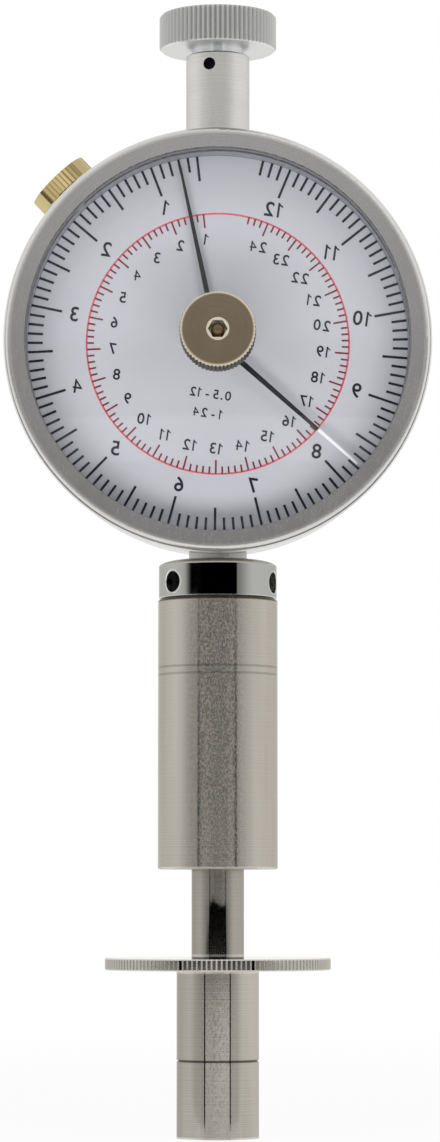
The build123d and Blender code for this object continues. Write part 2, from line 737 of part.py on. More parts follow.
# Intermediate wheel, with a tooth on the line to the centre pinion.
with BuildPart() as idler_gear:
    with BuildSketch(facing(gear_height, idler_x, idler_drop)):
        with BuildLine():
            Polyline(*gear_points(idler_teeth, mesh_angle), close=True)
        make_face()
        Circle(arbor_diameter / 2 + seat_gap, mode=Mode.SUBTRACT)
    extrude(amount=gear_width)
idler_gear.part.label = "idler_gear"
export_step(idler_gear.part, "parts/idler_gear.step")

# Pinion driven by the rack, with a tooth in the rack's topmost gap.
with BuildPart() as rack_pinion:
    with BuildSketch(facing(-rack_pinion_width / 2, idler_x, idler_drop)):
        with BuildLine():
            Polyline(*gear_points(rack_pinion_teeth, pi), close=True)
        make_face()
        Circle(arbor_diameter / 2 + seat_gap, mode=Mode.SUBTRACT)
    extrude(amount=rack_pinion_width)
rack_pinion.part.label = "rack_pinion"
export_step(rack_pinion.part, "parts/rack_pinion.step")

# ================= bezel and dial =================

# Bezel: a ring with a rounded outer edge, a front lip and a skirt that turns in the case.
with BuildPart() as bezel:
    with BuildSketch(case_section):
        with BuildLine():
            Polyline(
                (bezel_radius - bezel_edge_radius, bezel_front),
                (bezel_lip_radius, bezel_front),
                (bezel_lip_radius, bezel_front - lip_thickness),
                (skirt_bore, bezel_front - lip_thickness),
                (skirt_bore, skirt_rear),
                (skirt_radius, skirt_rear),
                (skirt_radius, bezel_rear),
                (bezel_radius, bezel_rear),
                (bezel_radius, bezel_front - bezel_edge_radius),
            )
            RadiusArc(
                (bezel_radius, bezel_front - bezel_edge_radius),
                (bezel_radius - bezel_edge_radius, bezel_front),
                -bezel_edge_radius,
            )
        make_face()
    revolve(axis=case_axis)
bezel.part.label = "bezel"
export_step(bezel.part, "parts/bezel.step")

# Soft gasket between the lip and the crystal.
with BuildPart() as crystal_gasket:
    with BuildSketch(facing(crystal_edge)):
        Circle(skirt_bore - running_gap)
        Circle(bezel_lip_radius - gasket_overhang, mode=Mode.SUBTRACT)
    extrude(amount=gasket_thickness)
crystal_gasket.part.label = "crystal_gasket"
export_step(crystal_gasket.part, "parts/crystal_gasket.step")

# Domed crystal, bored at its centre for the reset bush.
dome_radius = bezel_lip_radius - dome_setback
dome_edge_drop = crystal_curve - sqrt(crystal_curve**2 - dome_radius**2)
dome_top = crystal_edge + dome_edge_drop
inner_curve = crystal_curve - crystal_edge_thickness
inner_edge_drop = inner_curve - sqrt(inner_curve**2 - ring_bore**2)
with BuildPart() as crystal:
    with BuildSketch(case_section):
        with BuildLine():
            bush_seat = bush_diameter / 2 + seat_gap
            bush_drop = crystal_curve - sqrt(crystal_curve**2 - bush_seat**2)
            inner_drop = inner_curve - sqrt(inner_curve**2 - bush_seat**2)
            RadiusArc((bush_seat, dome_top - bush_drop), (dome_radius, crystal_edge), crystal_curve)
            Polyline(
                (dome_radius, crystal_edge),
                (crystal_radius, crystal_edge),
                (crystal_radius, crystal_rear),
                (ring_bore, crystal_rear),
            )
            RadiusArc(
                (ring_bore, crystal_rear),
                (bush_seat, crystal_rear + inner_edge_drop - inner_drop),
                -inner_curve,
            )
            Line(
                (bush_seat, crystal_rear + inner_edge_drop - inner_drop),
                (bush_seat, dome_top - bush_drop),
            )
        make_face()
    revolve(axis=case_axis)
crystal.part.label = "crystal"
export_step(crystal.part, "parts/crystal.step")

# Spacer ring between crystal and dial.
with BuildPart() as dial_ring:
    with BuildSketch(facing(dial_face)):
        Circle(dial_radius)
        Circle(ring_bore, mode=Mode.SUBTRACT)
    extrude(amount=crystal_rear - dial_face)
dial_ring.part.label = "dial_ring"
export_step(dial_ring.part, "parts/dial_ring.step")

# Dial plate.
with BuildPart() as dial_plate:
    with BuildSketch(facing(dial_rear)):
        Circle(dial_radius)
        Circle(dial_hole, mode=Mode.SUBTRACT)
    extrude(amount=dial_thickness)
dial_plate.part.label = "dial_plate"
export_step(dial_plate.part, "parts/dial_plate.step")

# Retaining ring behind the dial, flush with the skirt.
with BuildPart() as dial_retainer:
    with BuildSketch(facing(skirt_rear)):
        Circle(dial_radius)
        Circle(retainer_bore, mode=Mode.SUBTRACT)
    extrude(amount=dial_rear - skirt_rear)
dial_retainer.part.label = "dial_retainer"
export_step(dial_retainer.part, "parts/dial_retainer.step")

# Flanged bush through the crystal, in which the reset spindle turns.
bush_nut_front = crystal_rear + inner_edge_drop - bush_nut_gap
with BuildPart() as reset_bush:
    with BuildSketch(facing(dome_top)):
        Circle(bush_flange_diameter / 2)
    extrude(amount=bush_flange_thickness)
    chamfer(reset_bush.edges().group_by(Axis.Y)[0], edge_break)
    with BuildSketch(facing(dome_top)):
        Circle(bush_diameter / 2)
    extrude(amount=bush_nut_front - bush_nut_thickness - dome_top)
    with BuildSketch(facing(bush_nut_front - bush_nut_thickness)):
        Circle(spindle_diameter / 2 + running_gap)
    extrude(amount=crystal_curve, mode=Mode.SUBTRACT)
reset_bush.part.label = "reset_bush"
export_step(reset_bush.part, "parts/reset_bush.step")

# Ring nut on the bush, inside the crystal.
with BuildPart() as reset_nut:
    with BuildSketch(facing(bush_nut_front)):
        Circle(bush_flange_diameter / 2)
        Circle(bush_diameter / 2 + seat_gap, mode=Mode.SUBTRACT)
    extrude(amount=-bush_nut_thickness)
reset_nut.part.label = "reset_nut"
export_step(reset_nut.part, "parts/reset_nut.step")

# ================= reset knob and hands =================

# Knurled reset knob with bevelled edges.
knob_back = dome_top + bush_flange_thickness + knob_gap
knob_front = knob_back + knob_length
knob_bevel = (knob_diameter - knob_face_diameter) / 2
with BuildPart() as reset_knob:
    with BuildSketch(facing(knob_back)):
        with BuildLine():
            Polyline(*knurl_points(knob_teeth, knob_diameter / 2, knob_tooth_depth), close=True)
        make_face()
        Circle(sleeve_diameter / 2 + seat_gap, mode=Mode.SUBTRACT)
    extrude(amount=knob_front - knob_back)
    with BuildSketch(case_section):
        with BuildLine():
            Polyline(
                (0, knob_back),
                (knob_face_diameter / 2, knob_back),
                (knob_diameter / 2, knob_back + knob_bevel),
                (knob_diameter / 2, knob_front - knob_bevel),
                (knob_face_diameter / 2, knob_front),
                (0, knob_front),
                close=True,
            )
        make_face()
    revolve(axis=case_axis, mode=Mode.INTERSECT)
reset_knob.part.label = "reset_knob"
export_step(reset_knob.part, "parts/reset_knob.step")

# Hexagon-socket sleeve in the knob's bore, closed behind the socket and bored for the spindle.
with BuildPart() as reset_sleeve:
    with BuildSketch(facing(knob_back)):
        Circle(sleeve_diameter / 2)
        Circle(spindle_diameter / 2 + seat_gap, mode=Mode.SUBTRACT)
    extrude(amount=knob_front - knob_back)
    with BuildSketch(facing(knob_front)):
        RegularPolygon(hex_across_flats / 2, 6, major_radius=False)
    extrude(amount=-sleeve_length, mode=Mode.SUBTRACT)
reset_sleeve.part.label = "reset_sleeve"
export_step(reset_sleeve.part, "parts/reset_sleeve.step")

# Reset spindle with a rounded end in the socket.
spindle_end = knob_front - spindle_recess
peak_hub_rear = peak_height - peak_hub_drop
peak_collet_front = bush_nut_front - bush_nut_thickness - end_gap * 2
with BuildPart() as reset_spindle:
    with BuildSketch(case_section):
        with BuildLine():
            Polyline(
                (0, spindle_end),
                (0, peak_hub_rear),
                (spindle_diameter / 2, peak_hub_rear),
                (spindle_diameter / 2, spindle_end - spindle_round),
            )
            RadiusArc(
                (spindle_diameter / 2, spindle_end - spindle_round),
                (0, spindle_end),
                -((spindle_diameter / 2) ** 2 + spindle_round**2) / (2 * spindle_round),
            )
        make_face()
    revolve(axis=case_axis)
reset_spindle.part.label = "reset_spindle"
export_step(reset_spindle.part, "parts/reset_spindle.step")


# Corners of a tapered hand that points straight up, with its tail below the hub.
def hand_points(reach, tail):
    root = blade_root_width / 2
    end = blade_tip_width / 2
    heel = blade_tail_width / 2
    return [(-heel, -tail), (heel, -tail), (root, 0), (end, reach), (-end, reach), (-root, 0)]


# Hand of the peak reading, on the reset spindle.
with BuildPart() as peak_hand:
    with BuildSketch(facing(peak_height)):
        with BuildSketch(mode=Mode.PRIVATE) as peak_outline:
            Polygon(*hand_points(peak_reach, peak_tail), align=None)
        add(peak_outline.sketch, rotation=peak_angle)
        Circle(hub_diameter / 2)
        Circle(collet_neck / 2 + seat_gap, mode=Mode.SUBTRACT)
    extrude(amount=blade_thickness)
peak_hand.part.label = "peak_hand"
export_step(peak_hand.part, "parts/peak_hand.step")

# Collet that clamps the peak hand on the spindle.
with BuildPart() as peak_collet:
    with BuildSketch(facing(peak_hub_rear)):
        Circle(collet_neck / 2)
    extrude(amount=peak_height - peak_hub_rear + blade_thickness)
    with BuildSketch(facing(peak_height + blade_thickness)):
        Circle(collet_diameter / 2)
    extrude(amount=peak_collet_front - peak_height - blade_thickness)
    with BuildSketch(facing(peak_hub_rear)):
        Circle(spindle_diameter / 2 + seat_gap)
    extrude(amount=peak_collet_front - peak_hub_rear, mode=Mode.SUBTRACT)
peak_collet.part.label = "peak_collet"
export_step(peak_collet.part, "parts/peak_collet.step")

# Hand driven by the gear train.
with BuildPart() as drive_hand:
    with BuildSketch(facing(pointer_height)):
        with BuildSketch(mode=Mode.PRIVATE) as drive_outline:
            Polygon(*hand_points(pointer_reach, pointer_tail), align=None)
        add(drive_outline.sketch, rotation=pointer_angle)
        Circle(hub_diameter / 2)
        Circle(collet_neck / 2 + seat_gap, mode=Mode.SUBTRACT)
    extrude(amount=blade_thickness)
drive_hand.part.label = "drive_hand"
export_step(drive_hand.part, "parts/drive_hand.step")

# Collet that clamps the driven hand on its arbor.
with BuildPart() as drive_collet:
    with BuildSketch(facing(pointer_hub_rear)):
        Circle(collet_diameter / 2)
    extrude(amount=pointer_height - pointer_hub_rear)
    with BuildSketch(facing(pointer_height)):
        Circle(collet_neck / 2)
    extrude(amount=pointer_hub_front - pointer_height)
    with BuildSketch(facing(pointer_hub_rear)):
        Circle(pivot_diameter / 2 + seat_gap)
    extrude(amount=pointer_hub_front - pointer_hub_rear, mode=Mode.SUBTRACT)
drive_collet.part.label = "drive_collet"
export_step(drive_collet.part, "parts/drive_collet.step")

# ================= upper stem and handle =================

# Stem fixed in the case, bored for the handle's stud and drilled for its set screw.
stem_screw_height = stem_top - stem_screw_drop
with BuildPart() as upper_stem:
    with BuildSketch(Plane.XY.offset(stem_bottom)):
        Circle(stem_diameter / 2)
    extrude(amount=stem_top - stem_bottom)
    chamfer(upper_stem.edges().group_by(Axis.Z)[-1], edge_break)
    with BuildSketch(Plane.XY.offset(stem_bottom)):
        Circle(stem_spigot_diameter / 2)
    extrude(amount=-stem_spigot_length)
    with BuildSketch(Plane.XY.offset(stem_top)):
        Circle(stem_bore / 2 + seat_gap)
    extrude(amount=-handle_stud_depth - end_gap, mode=Mode.SUBTRACT)
    with BuildSketch(radial_plane(stem_screw_angle, 0, stem_screw_height)):
        Circle(stem_screw_diameter / 2)
    extrude(amount=stem_diameter, mode=Mode.SUBTRACT)
upper_stem.part.label = "upper_stem"
export_step(upper_stem.part, "parts/upper_stem.step")

# Set screw, sunk in the stem.
with BuildPart() as stem_screw:
    with BuildSketch(radial_plane(stem_screw_angle, stem_bore / 2 + end_gap, stem_screw_height)):
        Circle(stem_screw_diameter / 2 - seat_gap)
    extrude(amount=(stem_diameter - stem_bore) / 4)
stem_screw.part.label = "stem_screw"
export_step(stem_screw.part, "parts/stem_screw.step")

# Stud with a polished neck between stem and handle.
with BuildPart() as handle_stud:
    with BuildSketch(Plane.XY.offset(stem_top - handle_stud_depth)):
        Circle(stem_bore / 2)
    extrude(amount=handle_stud_depth + handle_neck_height + handle_stud_rise)
    with BuildSketch(Plane.XY.offset(stem_top)):
        Circle(handle_neck_diameter / 2)
    extrude(amount=handle_neck_height)
handle_stud.part.label = "handle_stud"
export_step(handle_stud.part, "parts/handle_stud.step")

# Knurled handle with small chamfers, screwed on the stud from below.
with BuildPart() as handle_knob:
    with BuildSketch(Plane.XY.offset(handle_bottom)):
        with BuildLine():
            Polyline(*knurl_points(handle_teeth, handle_diameter / 2, handle_tooth_depth), close=True)
        make_face()
    extrude(amount=handle_height)
    with BuildSketch(Plane.XZ):
        with BuildLine():
            Polyline(
                (0, handle_bottom),
                (handle_diameter / 2 - handle_tooth_depth, handle_bottom),
                (handle_diameter / 2, handle_bottom + handle_tooth_depth),
                (handle_diameter / 2, handle_top - handle_tooth_depth),
                (handle_diameter / 2 - handle_tooth_depth, handle_top),
                (0, handle_top),
                close=True,
            )
        make_face()
    revolve(axis=Axis.Z, mode=Mode.INTERSECT)
    with BuildSketch(Plane.XY.offset(handle_bottom)):
        Circle(stem_bore / 2 + seat_gap)
    extrude(amount=handle_stud_rise + end_gap, mode=Mode.SUBTRACT)
handle_knob.part.label = "handle_knob"
export_step(handle_knob.part, "parts/handle_knob.step")

# ================= bezel lock =================


# Plane square to the lock screw's axis, at a radius from the case's centre.
def lock_plane(radius):
    centre = Vector(0, -lock_height, case_centre) + lock_direction * radius
    return Plane(origin=centre, x_dir=(0, -1, 0), z_dir=lock_direction)


# Shouldered stud of the lock screw, through the case's side.
lock_knob_inner = case_front_radius + lock_knob_gap
shoulder_inner = lock_knob_inner - lock_shoulder_length
shoe_outer = case_bore_radius - shoe_wall_gap
shoe_inner = shoe_outer - shoe_thickness
lock_stud_end = shoe_inner - stud_overhang
with BuildPart() as lock_stud:
    with BuildSketch(lock_plane(lock_stud_end)):
        Circle(lock_stud_diameter / 2)
    extrude(amount=shoulder_inner - lock_stud_end)
    with BuildSketch(lock_plane(shoulder_inner)):
        Circle(lock_shoulder_diameter / 2)
    extrude(amount=lock_shoulder_length)
    with BuildSketch(lock_plane(lock_knob_inner)):
        Circle(lock_stud_diameter / 2)
    extrude(amount=lock_knob_thickness / 2)
lock_stud.part.label = "lock_stud"
export_step(lock_stud.part, "parts/lock_stud.step")

# Knurled knob of the lock screw.
with BuildPart() as lock_knob:
    with BuildSketch(lock_plane(lock_knob_inner)):
        with BuildLine():
            Polyline(*knurl_points(lock_teeth, lock_knob_diameter / 2, lock_tooth_depth), close=True)
        make_face()
    extrude(amount=lock_knob_thickness)
    with BuildSketch(lock_plane(lock_knob_inner)):
        Circle(lock_stud_diameter / 2 + seat_gap)
    extrude(amount=lock_knob_thickness / 2 + end_gap, mode=Mode.SUBTRACT)
lock_knob.part.label = "lock_knob"
export_step(lock_knob.part, "parts/lock_knob.step")

# Shoe on the stud's end that bears on the ring behind the dial.
with BuildPart() as lock_shoe:
    with BuildSketch(lock_plane(shoe_inner)):
        Rectangle(2 * (skirt_rear - end_gap - lock_height), shoe_width)
        Circle(lock_stud_diameter / 2 + running_gap, mode=Mode.SUBTRACT)
    extrude(amount=shoe_outer - shoe_inner)
lock_shoe.part.label = "lock_shoe"
export_step(lock_shoe.part, "parts/lock_shoe.step")
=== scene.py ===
# Hand-held dial hardness tester: its finishes, the printed dial, the knurled flange, and the studio round it
import math
from functools import reduce

import bmesh
import bpy
import numpy as np
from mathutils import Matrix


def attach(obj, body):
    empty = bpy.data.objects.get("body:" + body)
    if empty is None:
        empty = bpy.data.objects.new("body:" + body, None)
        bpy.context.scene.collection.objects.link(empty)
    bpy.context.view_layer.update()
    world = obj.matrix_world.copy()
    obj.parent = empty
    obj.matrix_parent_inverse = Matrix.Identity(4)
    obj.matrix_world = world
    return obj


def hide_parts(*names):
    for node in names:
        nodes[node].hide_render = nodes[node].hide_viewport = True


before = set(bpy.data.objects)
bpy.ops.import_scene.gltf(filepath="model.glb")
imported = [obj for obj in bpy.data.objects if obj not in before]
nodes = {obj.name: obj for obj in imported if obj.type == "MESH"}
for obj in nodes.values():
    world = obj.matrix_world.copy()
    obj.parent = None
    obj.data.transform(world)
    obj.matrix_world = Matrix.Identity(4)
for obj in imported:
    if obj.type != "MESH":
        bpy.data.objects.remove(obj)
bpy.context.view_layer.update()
scene = bpy.context.scene
dialCentre = (0.0, 0.0, 0.1083915)


def tint(red, green, blue):
    # a screen colour from 0 to 255 as the linear colour that the shaders take
    share = np.array([red, green, blue]) / 255
    line = np.where(share > 0.04045, ((share + 0.055) / 1.055) ** 2.4, share / 12.92)
    return (*line.tolist(), 1.0)


class Wire:
    # one output socket; sums written with it become Math nodes
    def __init__(self, board, socket):
        self.board = board
        self.socket = socket

    def maths(self, operation, *others):
        return self.board.node("Math", {"operation": operation}, dict(enumerate((self, *others))))

    def __add__(self, other):
        return self.maths("ADD", other)

    def __sub__(self, other):
        return self.maths("SUBTRACT", other)

    def __rsub__(self, other):
        return self.board.node("Math", {"operation": "SUBTRACT"}, {0: other, 1: self})

    def __mul__(self, other):
        return self.maths("MULTIPLY", other)

    def __truediv__(self, other):
        return self.maths("DIVIDE", other)

    __radd__ = __add__
    __rmul__ = __mul__

    def larger(self, other):
        return self.maths("MAXIMUM", other)

    def smaller(self, other):
        return self.maths("MINIMUM", other)

    def above(self, edge, soft):
        # 0 below the edge, 1 above it, and a smooth step of width soft between
        steps = {"From Min": edge - soft / 2, "From Max": edge + soft / 2}
        return self.board.node("MapRange", {"interpolation_type": "SMOOTHSTEP"}, {"Value": self, **steps})

    def rising(self, start, full):
        # 0 before the start, 1 after the full value
        return self.above((start + full) / 2, full - start)

    def within(self, low, high, soft):
        # 1 between two edges, 0 outside them
        return self.above(low, soft) * (1.0 - self.above(high, soft))


class Board:
    # the nodes of one material, or of the world
    def __init__(self, tree):
        self.tree = tree

    def node(self, kind, settings=None, values=None, out=0):
        made = self.tree.nodes.new("ShaderNode" + kind)
        for setting, value in (settings or {}).items():
            setattr(made, setting, value)
        for place, value in (values or {}).items():
            self.feed(made.inputs[place], value)
        return Wire(self, made.outputs[out])

    def feed(self, socket, value):
        if isinstance(value, Wire):
            self.tree.links.new(value.socket, socket)
        else:
            socket.default_value = value

    def seen(self):
        # 1 for what is seen straight, in metal or through glass, 0 for all other light
        ways = [self.node("LightPath", out=f"Is {way} Ray") for way in ("Camera", "Glossy", "Transmission")]
        return reduce(Wire.larger, ways)


class Finish(Board):
    # one procedural material
    def __init__(self, name, **fixed):
        self.material = bpy.data.materials.new(name)
        self.material.use_nodes = True
        super().__init__(self.material.node_tree)
        self.give(**fixed)

    def give(self, **inputs):
        # values or wires for the shader's own sockets
        shader = self.tree.nodes["Principled BSDF"]
        for socket, value in inputs.items():
            self.feed(shader.inputs[socket.replace("_", " ")], value)

    def show(self, surface):
        # what the material shows in place of its shader alone
        self.feed(self.tree.nodes["Material Output"].inputs["Surface"], surface)

    def place(self, centre=(0, 0, 0), scale=(1, 1, 1)):
        # Object coordinates about a centre, stretched
        flat = self.node("TexCoord", out="Object")
        moved = self.node("VectorMath", {"operation": "SUBTRACT"}, {0: flat, 1: centre})
        return self.node("Mapping", {}, {"Vector": moved, "Scale": scale})

    def axes(self, vector):
        return [self.node("SeparateXYZ", {}, {0: vector}, out) for out in range(3)]

    def noise(self, vector, scale, detail=2.0, roughness=0.5):
        # cloudy values that average a half
        values = {"Vector": vector, "Scale": scale, "Detail": detail, "Roughness": roughness}
        return self.node("TexNoise", {}, values)

    def lines(self, along, perMetre, detail=2.0):
        # values that change only along one length, as tool marks do
        values = {"W": along * perMetre, "Scale": 1.0, "Detail": detail}
        return self.node("TexNoise", {"noise_dimensions": "1D"}, values)

    def between(self, share, first, second):
        # first where the share is 0, second where it is 1
        return self.node("Mix", {"data_type": "RGBA"}, {0: share, 6: first, 7: second}, 2)

    def relief(self, height, depth, strength):
        return self.node("Bump", {}, {"Height": height, "Distance": depth, "Strength": strength})


def radius(first, second):
    # distance from an axis, from the two coordinates across it
    return (first * first + second * second).maths("SQRT")


def paint(finish, *names):
    # every material slot of the nodes takes the finish
    for name in names:
        for slot in nodes[name].material_slots:
            slot.material = finish.material


turned = {
    "steel": tint(186, 181, 171),
    "shade": tint(170, 165, 155),
    "edge": tint(225, 222, 218),
    "bright": tint(238, 236, 232),       # painted highlight on broken edges
    "line": tint(40, 36, 32),            # dark colour in the depth groove, and painted shade in the joint under the collar
    "ringsPerMetre": 7000.0,
    "ringDepth": 0.000008,
    "flecksPerMetre": 5600.0,
    "fleckStretch": 0.45,
    "streaksPerMetre": 260.0,
    "streakStretch": 0.05,
    "cloudsPerMetre": 420.0,             # the clouds that break the line where flecks start
    "cloudDrift": 0.006,
    # rough: roughness between the flecks and on them; clear: no flecks under this height
    # tone: how much of shade and of steel is taken; bump: strength of the rings
    # flecked: from 0, rough all over, to 1, rough on flecks only
    # dark and bright: level lines painted into the colour, with height, width and strength of each; the bright ones
    # are painted highlights on broken edges, and the dark one under the collar is painted shade
    "barrel": {
        "rough": (0.15, 0.24), "clear": 0.0, "tone": (1.0, 1.0), "bump": 0.4, "flecked": 1.0,
        "dark": ((0.0641, 0.0003, 0.3), (0.0631, 0.0003, 0.3), (0.0734, 0.0005, 0.9)),
        "bright": ((0.03658, 0.00035, 0.8),),
    },
    "tip": {
        "rough": (0.05, 0.1), "clear": 0.0, "tone": (0.86, 1.04), "bump": 0.1, "flecked": 1.0,
        "dark": ((0.0105, 0.00032, 0.85),),
        "bright": ((0.02262, 0.0005, 0.9), (0.0001, 0.0003, 0.5)),
    },
    "rod": {
        "rough": (0.03, 0.22), "clear": 0.0322, "tone": (0.7, 0.76), "bump": 0.04, "flecked": 0.3,
        "dark": ((0.02445, 0.0002, 0.6),),
        "bright": ((0.02475, 0.0003, 0.5),),
    },
}


def levelLines(z, lines):
    # the strongest of several thin level lines, each its strength in the middle and 0 at its edges
    marks = []
    for height, width, strength in lines:
        offset = (z - height).maths("ABSOLUTE")
        marks.append((1.0 - offset.above(width / 2, width / 2)) * strength)
    return reduce(Wire.larger, marks)


def turnedSteel(piece):
    # fine rings of tool marks; the finish spreads light along the column, more so on upright flecks:
    # roughness = smooth + flecks * (rough - smooth)
    look = turned[piece]
    finish = Finish(piece + "_steel", Metallic=1.0, Anisotropic=0.85, Anisotropic_Rotation=0.25)
    finish.give(Specular_Tint=turned["edge"])
    x, y, z = finish.axes(finish.place())
    marks = finish.lines(z, turned["ringsPerMetre"], 3.0)
    streak = finish.noise(finish.place(scale=(1, 1, turned["streakStretch"])), turned["streaksPerMetre"])
    tone = (streak * 0.7 + marks * 0.3).above(0.5, 0.4)
    low, high = look["tone"]
    shade = tuple(part * low for part in turned["shade"][:3]) + (1.0,)
    metal = tuple(part * high for part in turned["steel"][:3]) + (1.0,)
    # dark lines: a dark colour in the depth groove and painted shade in the joint under the collar; bright lines:
    # painted highlights on broken edges
    darkLinesAndShade, paintedHighlight = levelLines(z, look["dark"]), levelLines(z, look["bright"])
    metal = finish.between(paintedHighlight, finish.between(tone, shade, metal), turned["bright"])
    finish.give(Base_Color=finish.between(darkLinesAndShade, metal, turned["line"]))
    fleck = finish.noise(finish.place(scale=(1, 1, turned["fleckStretch"])), turned["flecksPerMetre"], 1.0)
    flecks = fleck.above(0.52, 0.14) * look["flecked"] + (1.0 - look["flecked"])
    if look["clear"]:
        cloud = finish.noise(finish.place(scale=(1, 1, 0.5)), turned["cloudsPerMetre"])
        flecks = flecks * (z + cloud * turned["cloudDrift"]).above(look["clear"] + turned["cloudDrift"] / 2, 0.002)
    smooth, rough = look["rough"]
    finish.give(Roughness=smooth + flecks * (rough - smooth) + paintedHighlight * 0.35)
    finish.give(Normal=finish.relief(marks, turned["ringDepth"], look["bump"]))
    return finish


collarLook = {
    "steel": tint(172, 172, 168),
    "crown": tint(200, 198, 190),
    "foot": 0.0735,
    "footEdge": 0.00024,                    # its painted highlight on the lower edge is this high
    "crownFrom": 0.07804,
    "holeHeight": 0.07565,
    "holeAngles": (-50.0, 70.0, 190.0),     # from the reader's side, towards the right
    "holeRadius": 0.0015,
    "holeEdge": 0.00022,
    "rough": (0.014, 0.02),                 # the mirror's roughness, and what clouds add
    "mattRough": 0.2,                       # what the crown and the bright edges add
    "crownMetallic": 0.7,
    "cloudsPerMetre": 500.0,
    "grainPerMetre": 900.0,
}


def collarSteel():
    # a mirror, with a matt crown, and a painted highlight on its lower edge and on the broken edges round its holes
    finish = Finish("collar_steel", Metallic=1.0, Specular_Tint=tint(222, 222, 222))
    spot = finish.place()
    x, y, z = finish.axes(spot)
    holes = []
    for angle in collarLook["holeAngles"]:
        sine, cosine = math.sin(math.radians(angle)), math.cos(math.radians(angle))
        behind = 1.0 - (x * sine - y * cosine).above(0.0, 0.001)
        holes.append(radius(x * cosine + y * sine, z - collarLook["holeHeight"]) + behind)
    away = reduce(Wire.smaller, holes)
    inner, edge = collarLook["holeRadius"], collarLook["holeEdge"]
    hollow = away.rising(inner, inner + edge)
    rim = 1.0 - away.above(inner + edge, 0.00008)
    crown = z.above(collarLook["crownFrom"], 0.00008)
    foot = 1.0 - z.above(collarLook["foot"] + collarLook["footEdge"], 0.0001)
    cloud = finish.noise(spot, collarLook["cloudsPerMetre"], 3.0)
    grain = finish.noise(finish.place(scale=(1, 1, 6)), collarLook["grainPerMetre"])
    metal = finish.between(crown, collarLook["steel"], collarLook["crown"])
    # painted highlight on the lower edge and round the holes
    bright = foot.larger(rim)
    finish.give(Base_Color=finish.between(bright, metal, turned["bright"]))
    mirror, clouded = collarLook["rough"]
    finish.give(Roughness=mirror + cloud * clouded + (bright + crown) * collarLook["mattRough"])
    finish.give(Metallic=1.0 - crown * (1.0 - collarLook["crownMetallic"]))
    finish.give(Normal=finish.relief(hollow * 30.0 + grain * 0.002, 0.00001, 1.0))
    return finish


plainSteels = {
    # name: colour, colour of its marks, roughness, how metallic
    "polished_steel": (tint(214, 214, 214), tint(200, 200, 200), 0.06, 1.0),
    "stem_steel": (tint(218, 216, 213), tint(204, 202, 199), 0.24, 1.0),
    "neck_steel": (tint(236, 235, 232), tint(216, 215, 212), 0.3, 0.2),
    "stud_steel": (tint(240, 242, 246), tint(220, 222, 226), 0.012, 1.0),
    "screw_steel": (tint(150, 150, 148), tint(126, 126, 124), 0.3, 1.0),
    "blacked_steel": (tint(30, 30, 34), tint(18, 18, 20), 0.4, 1.0),
    "spring_wire": (tint(150, 152, 156), tint(120, 122, 126), 0.3, 1.0),
}


def plainSteel(name):
    # drawn or ground steel: faint rings and clouds
    colour, shade, rough, metallic = plainSteels[name]
    finish = Finish(name, Metallic=metallic, Specular_Tint=tint(222, 222, 222))
    spot = finish.place()
    x, y, z = finish.axes(spot)
    marks = finish.lines(z, turned["ringsPerMetre"])
    cloud = finish.noise(spot, 300.0, 3.0)
    finish.give(Base_Color=finish.between((marks * 0.5 + cloud * 0.5).above(0.5, 0.5), shade, colour))
    finish.give(Roughness=rough * 0.7 + cloud * (rough * 0.6))
    finish.give(Normal=finish.relief(marks, 0.00001, 0.25))
    return finish


handleLook = {
    "land": tint(216, 216, 214),
    # painted shade in the knurl's grooves
    "groove": tint(196, 196, 194),
    "under": tint(240, 240, 238),
    "rough": 0.5,
    "radius": 0.008125,
    "grooveDepth": 0.0003,
    "underFrom": 0.15034,        # the smooth underside and its broken edge end at this height
    "cloudsPerMetre": 900.0,
}


def handleSteel():
    # a knurled rim, with painted shade in its grooves, over a smooth bright underside
    finish = Finish("handle_steel", Metallic=1.0, Specular_Tint=tint(225, 225, 225))
    spot = finish.place()
    x, y, z = finish.axes(spot)
    depth = handleLook["grooveDepth"]
    land = radius(x, y).above(handleLook["radius"] - depth * 0.5, depth)
    cloud = finish.noise(spot, handleLook["cloudsPerMetre"], 3.0)
    under = 1.0 - z.above(handleLook["underFrom"], 0.0001)
    metal = finish.between(land, handleLook["groove"], handleLook["land"])
    finish.give(Base_Color=finish.between(under, metal, handleLook["under"]))
    finish.give(Roughness=handleLook["rough"] * (1.0 - under * 0.5) + cloud * 0.1)
    finish.give(Normal=finish.relief(cloud, 0.00001, 0.3))
    return finish


lockLook = {
    "land": tint(206, 188, 140),
    # painted shade in the knurl's grooves
    "groove": tint(52, 40, 20),
    "lean": 43.75,               # degrees from upright, to the left
    "radius": 0.00455,
    "grooveDepth": 0.00025,
    "rough": (0.1, 0.08),        # its roughness, and what clouds add
    "cloudsPerMetre": 700.0,
}


def lockBrass():
    # bright knurled brass, with painted shade in its grooves, which lie between the roots and the lands
    finish = Finish("lock_brass", Metallic=1.0, Specular_Tint=tint(230, 225, 210))
    spot = finish.place(dialCentre)
    x, y, z = finish.axes(spot)
    lean = math.radians(lockLook["lean"])
    reach = radius(y, x * math.cos(lean) + z * math.sin(lean))
    outer, depth = lockLook["radius"], lockLook["grooveDepth"]
    groove = reach.above(outer - depth * 1.1, depth * 0.1) * (1.0 - reach.above(outer - depth * 0.25, depth * 0.5))
    cloud = finish.noise(spot, lockLook["cloudsPerMetre"], 3.0)
    bright, clouded = lockLook["rough"]
    finish.give(Base_Color=finish.between(groove, lockLook["land"], lockLook["groove"]))
    finish.give(Roughness=bright + cloud * clouded, Normal=finish.relief(cloud, 0.00001, 0.2))
    return finish


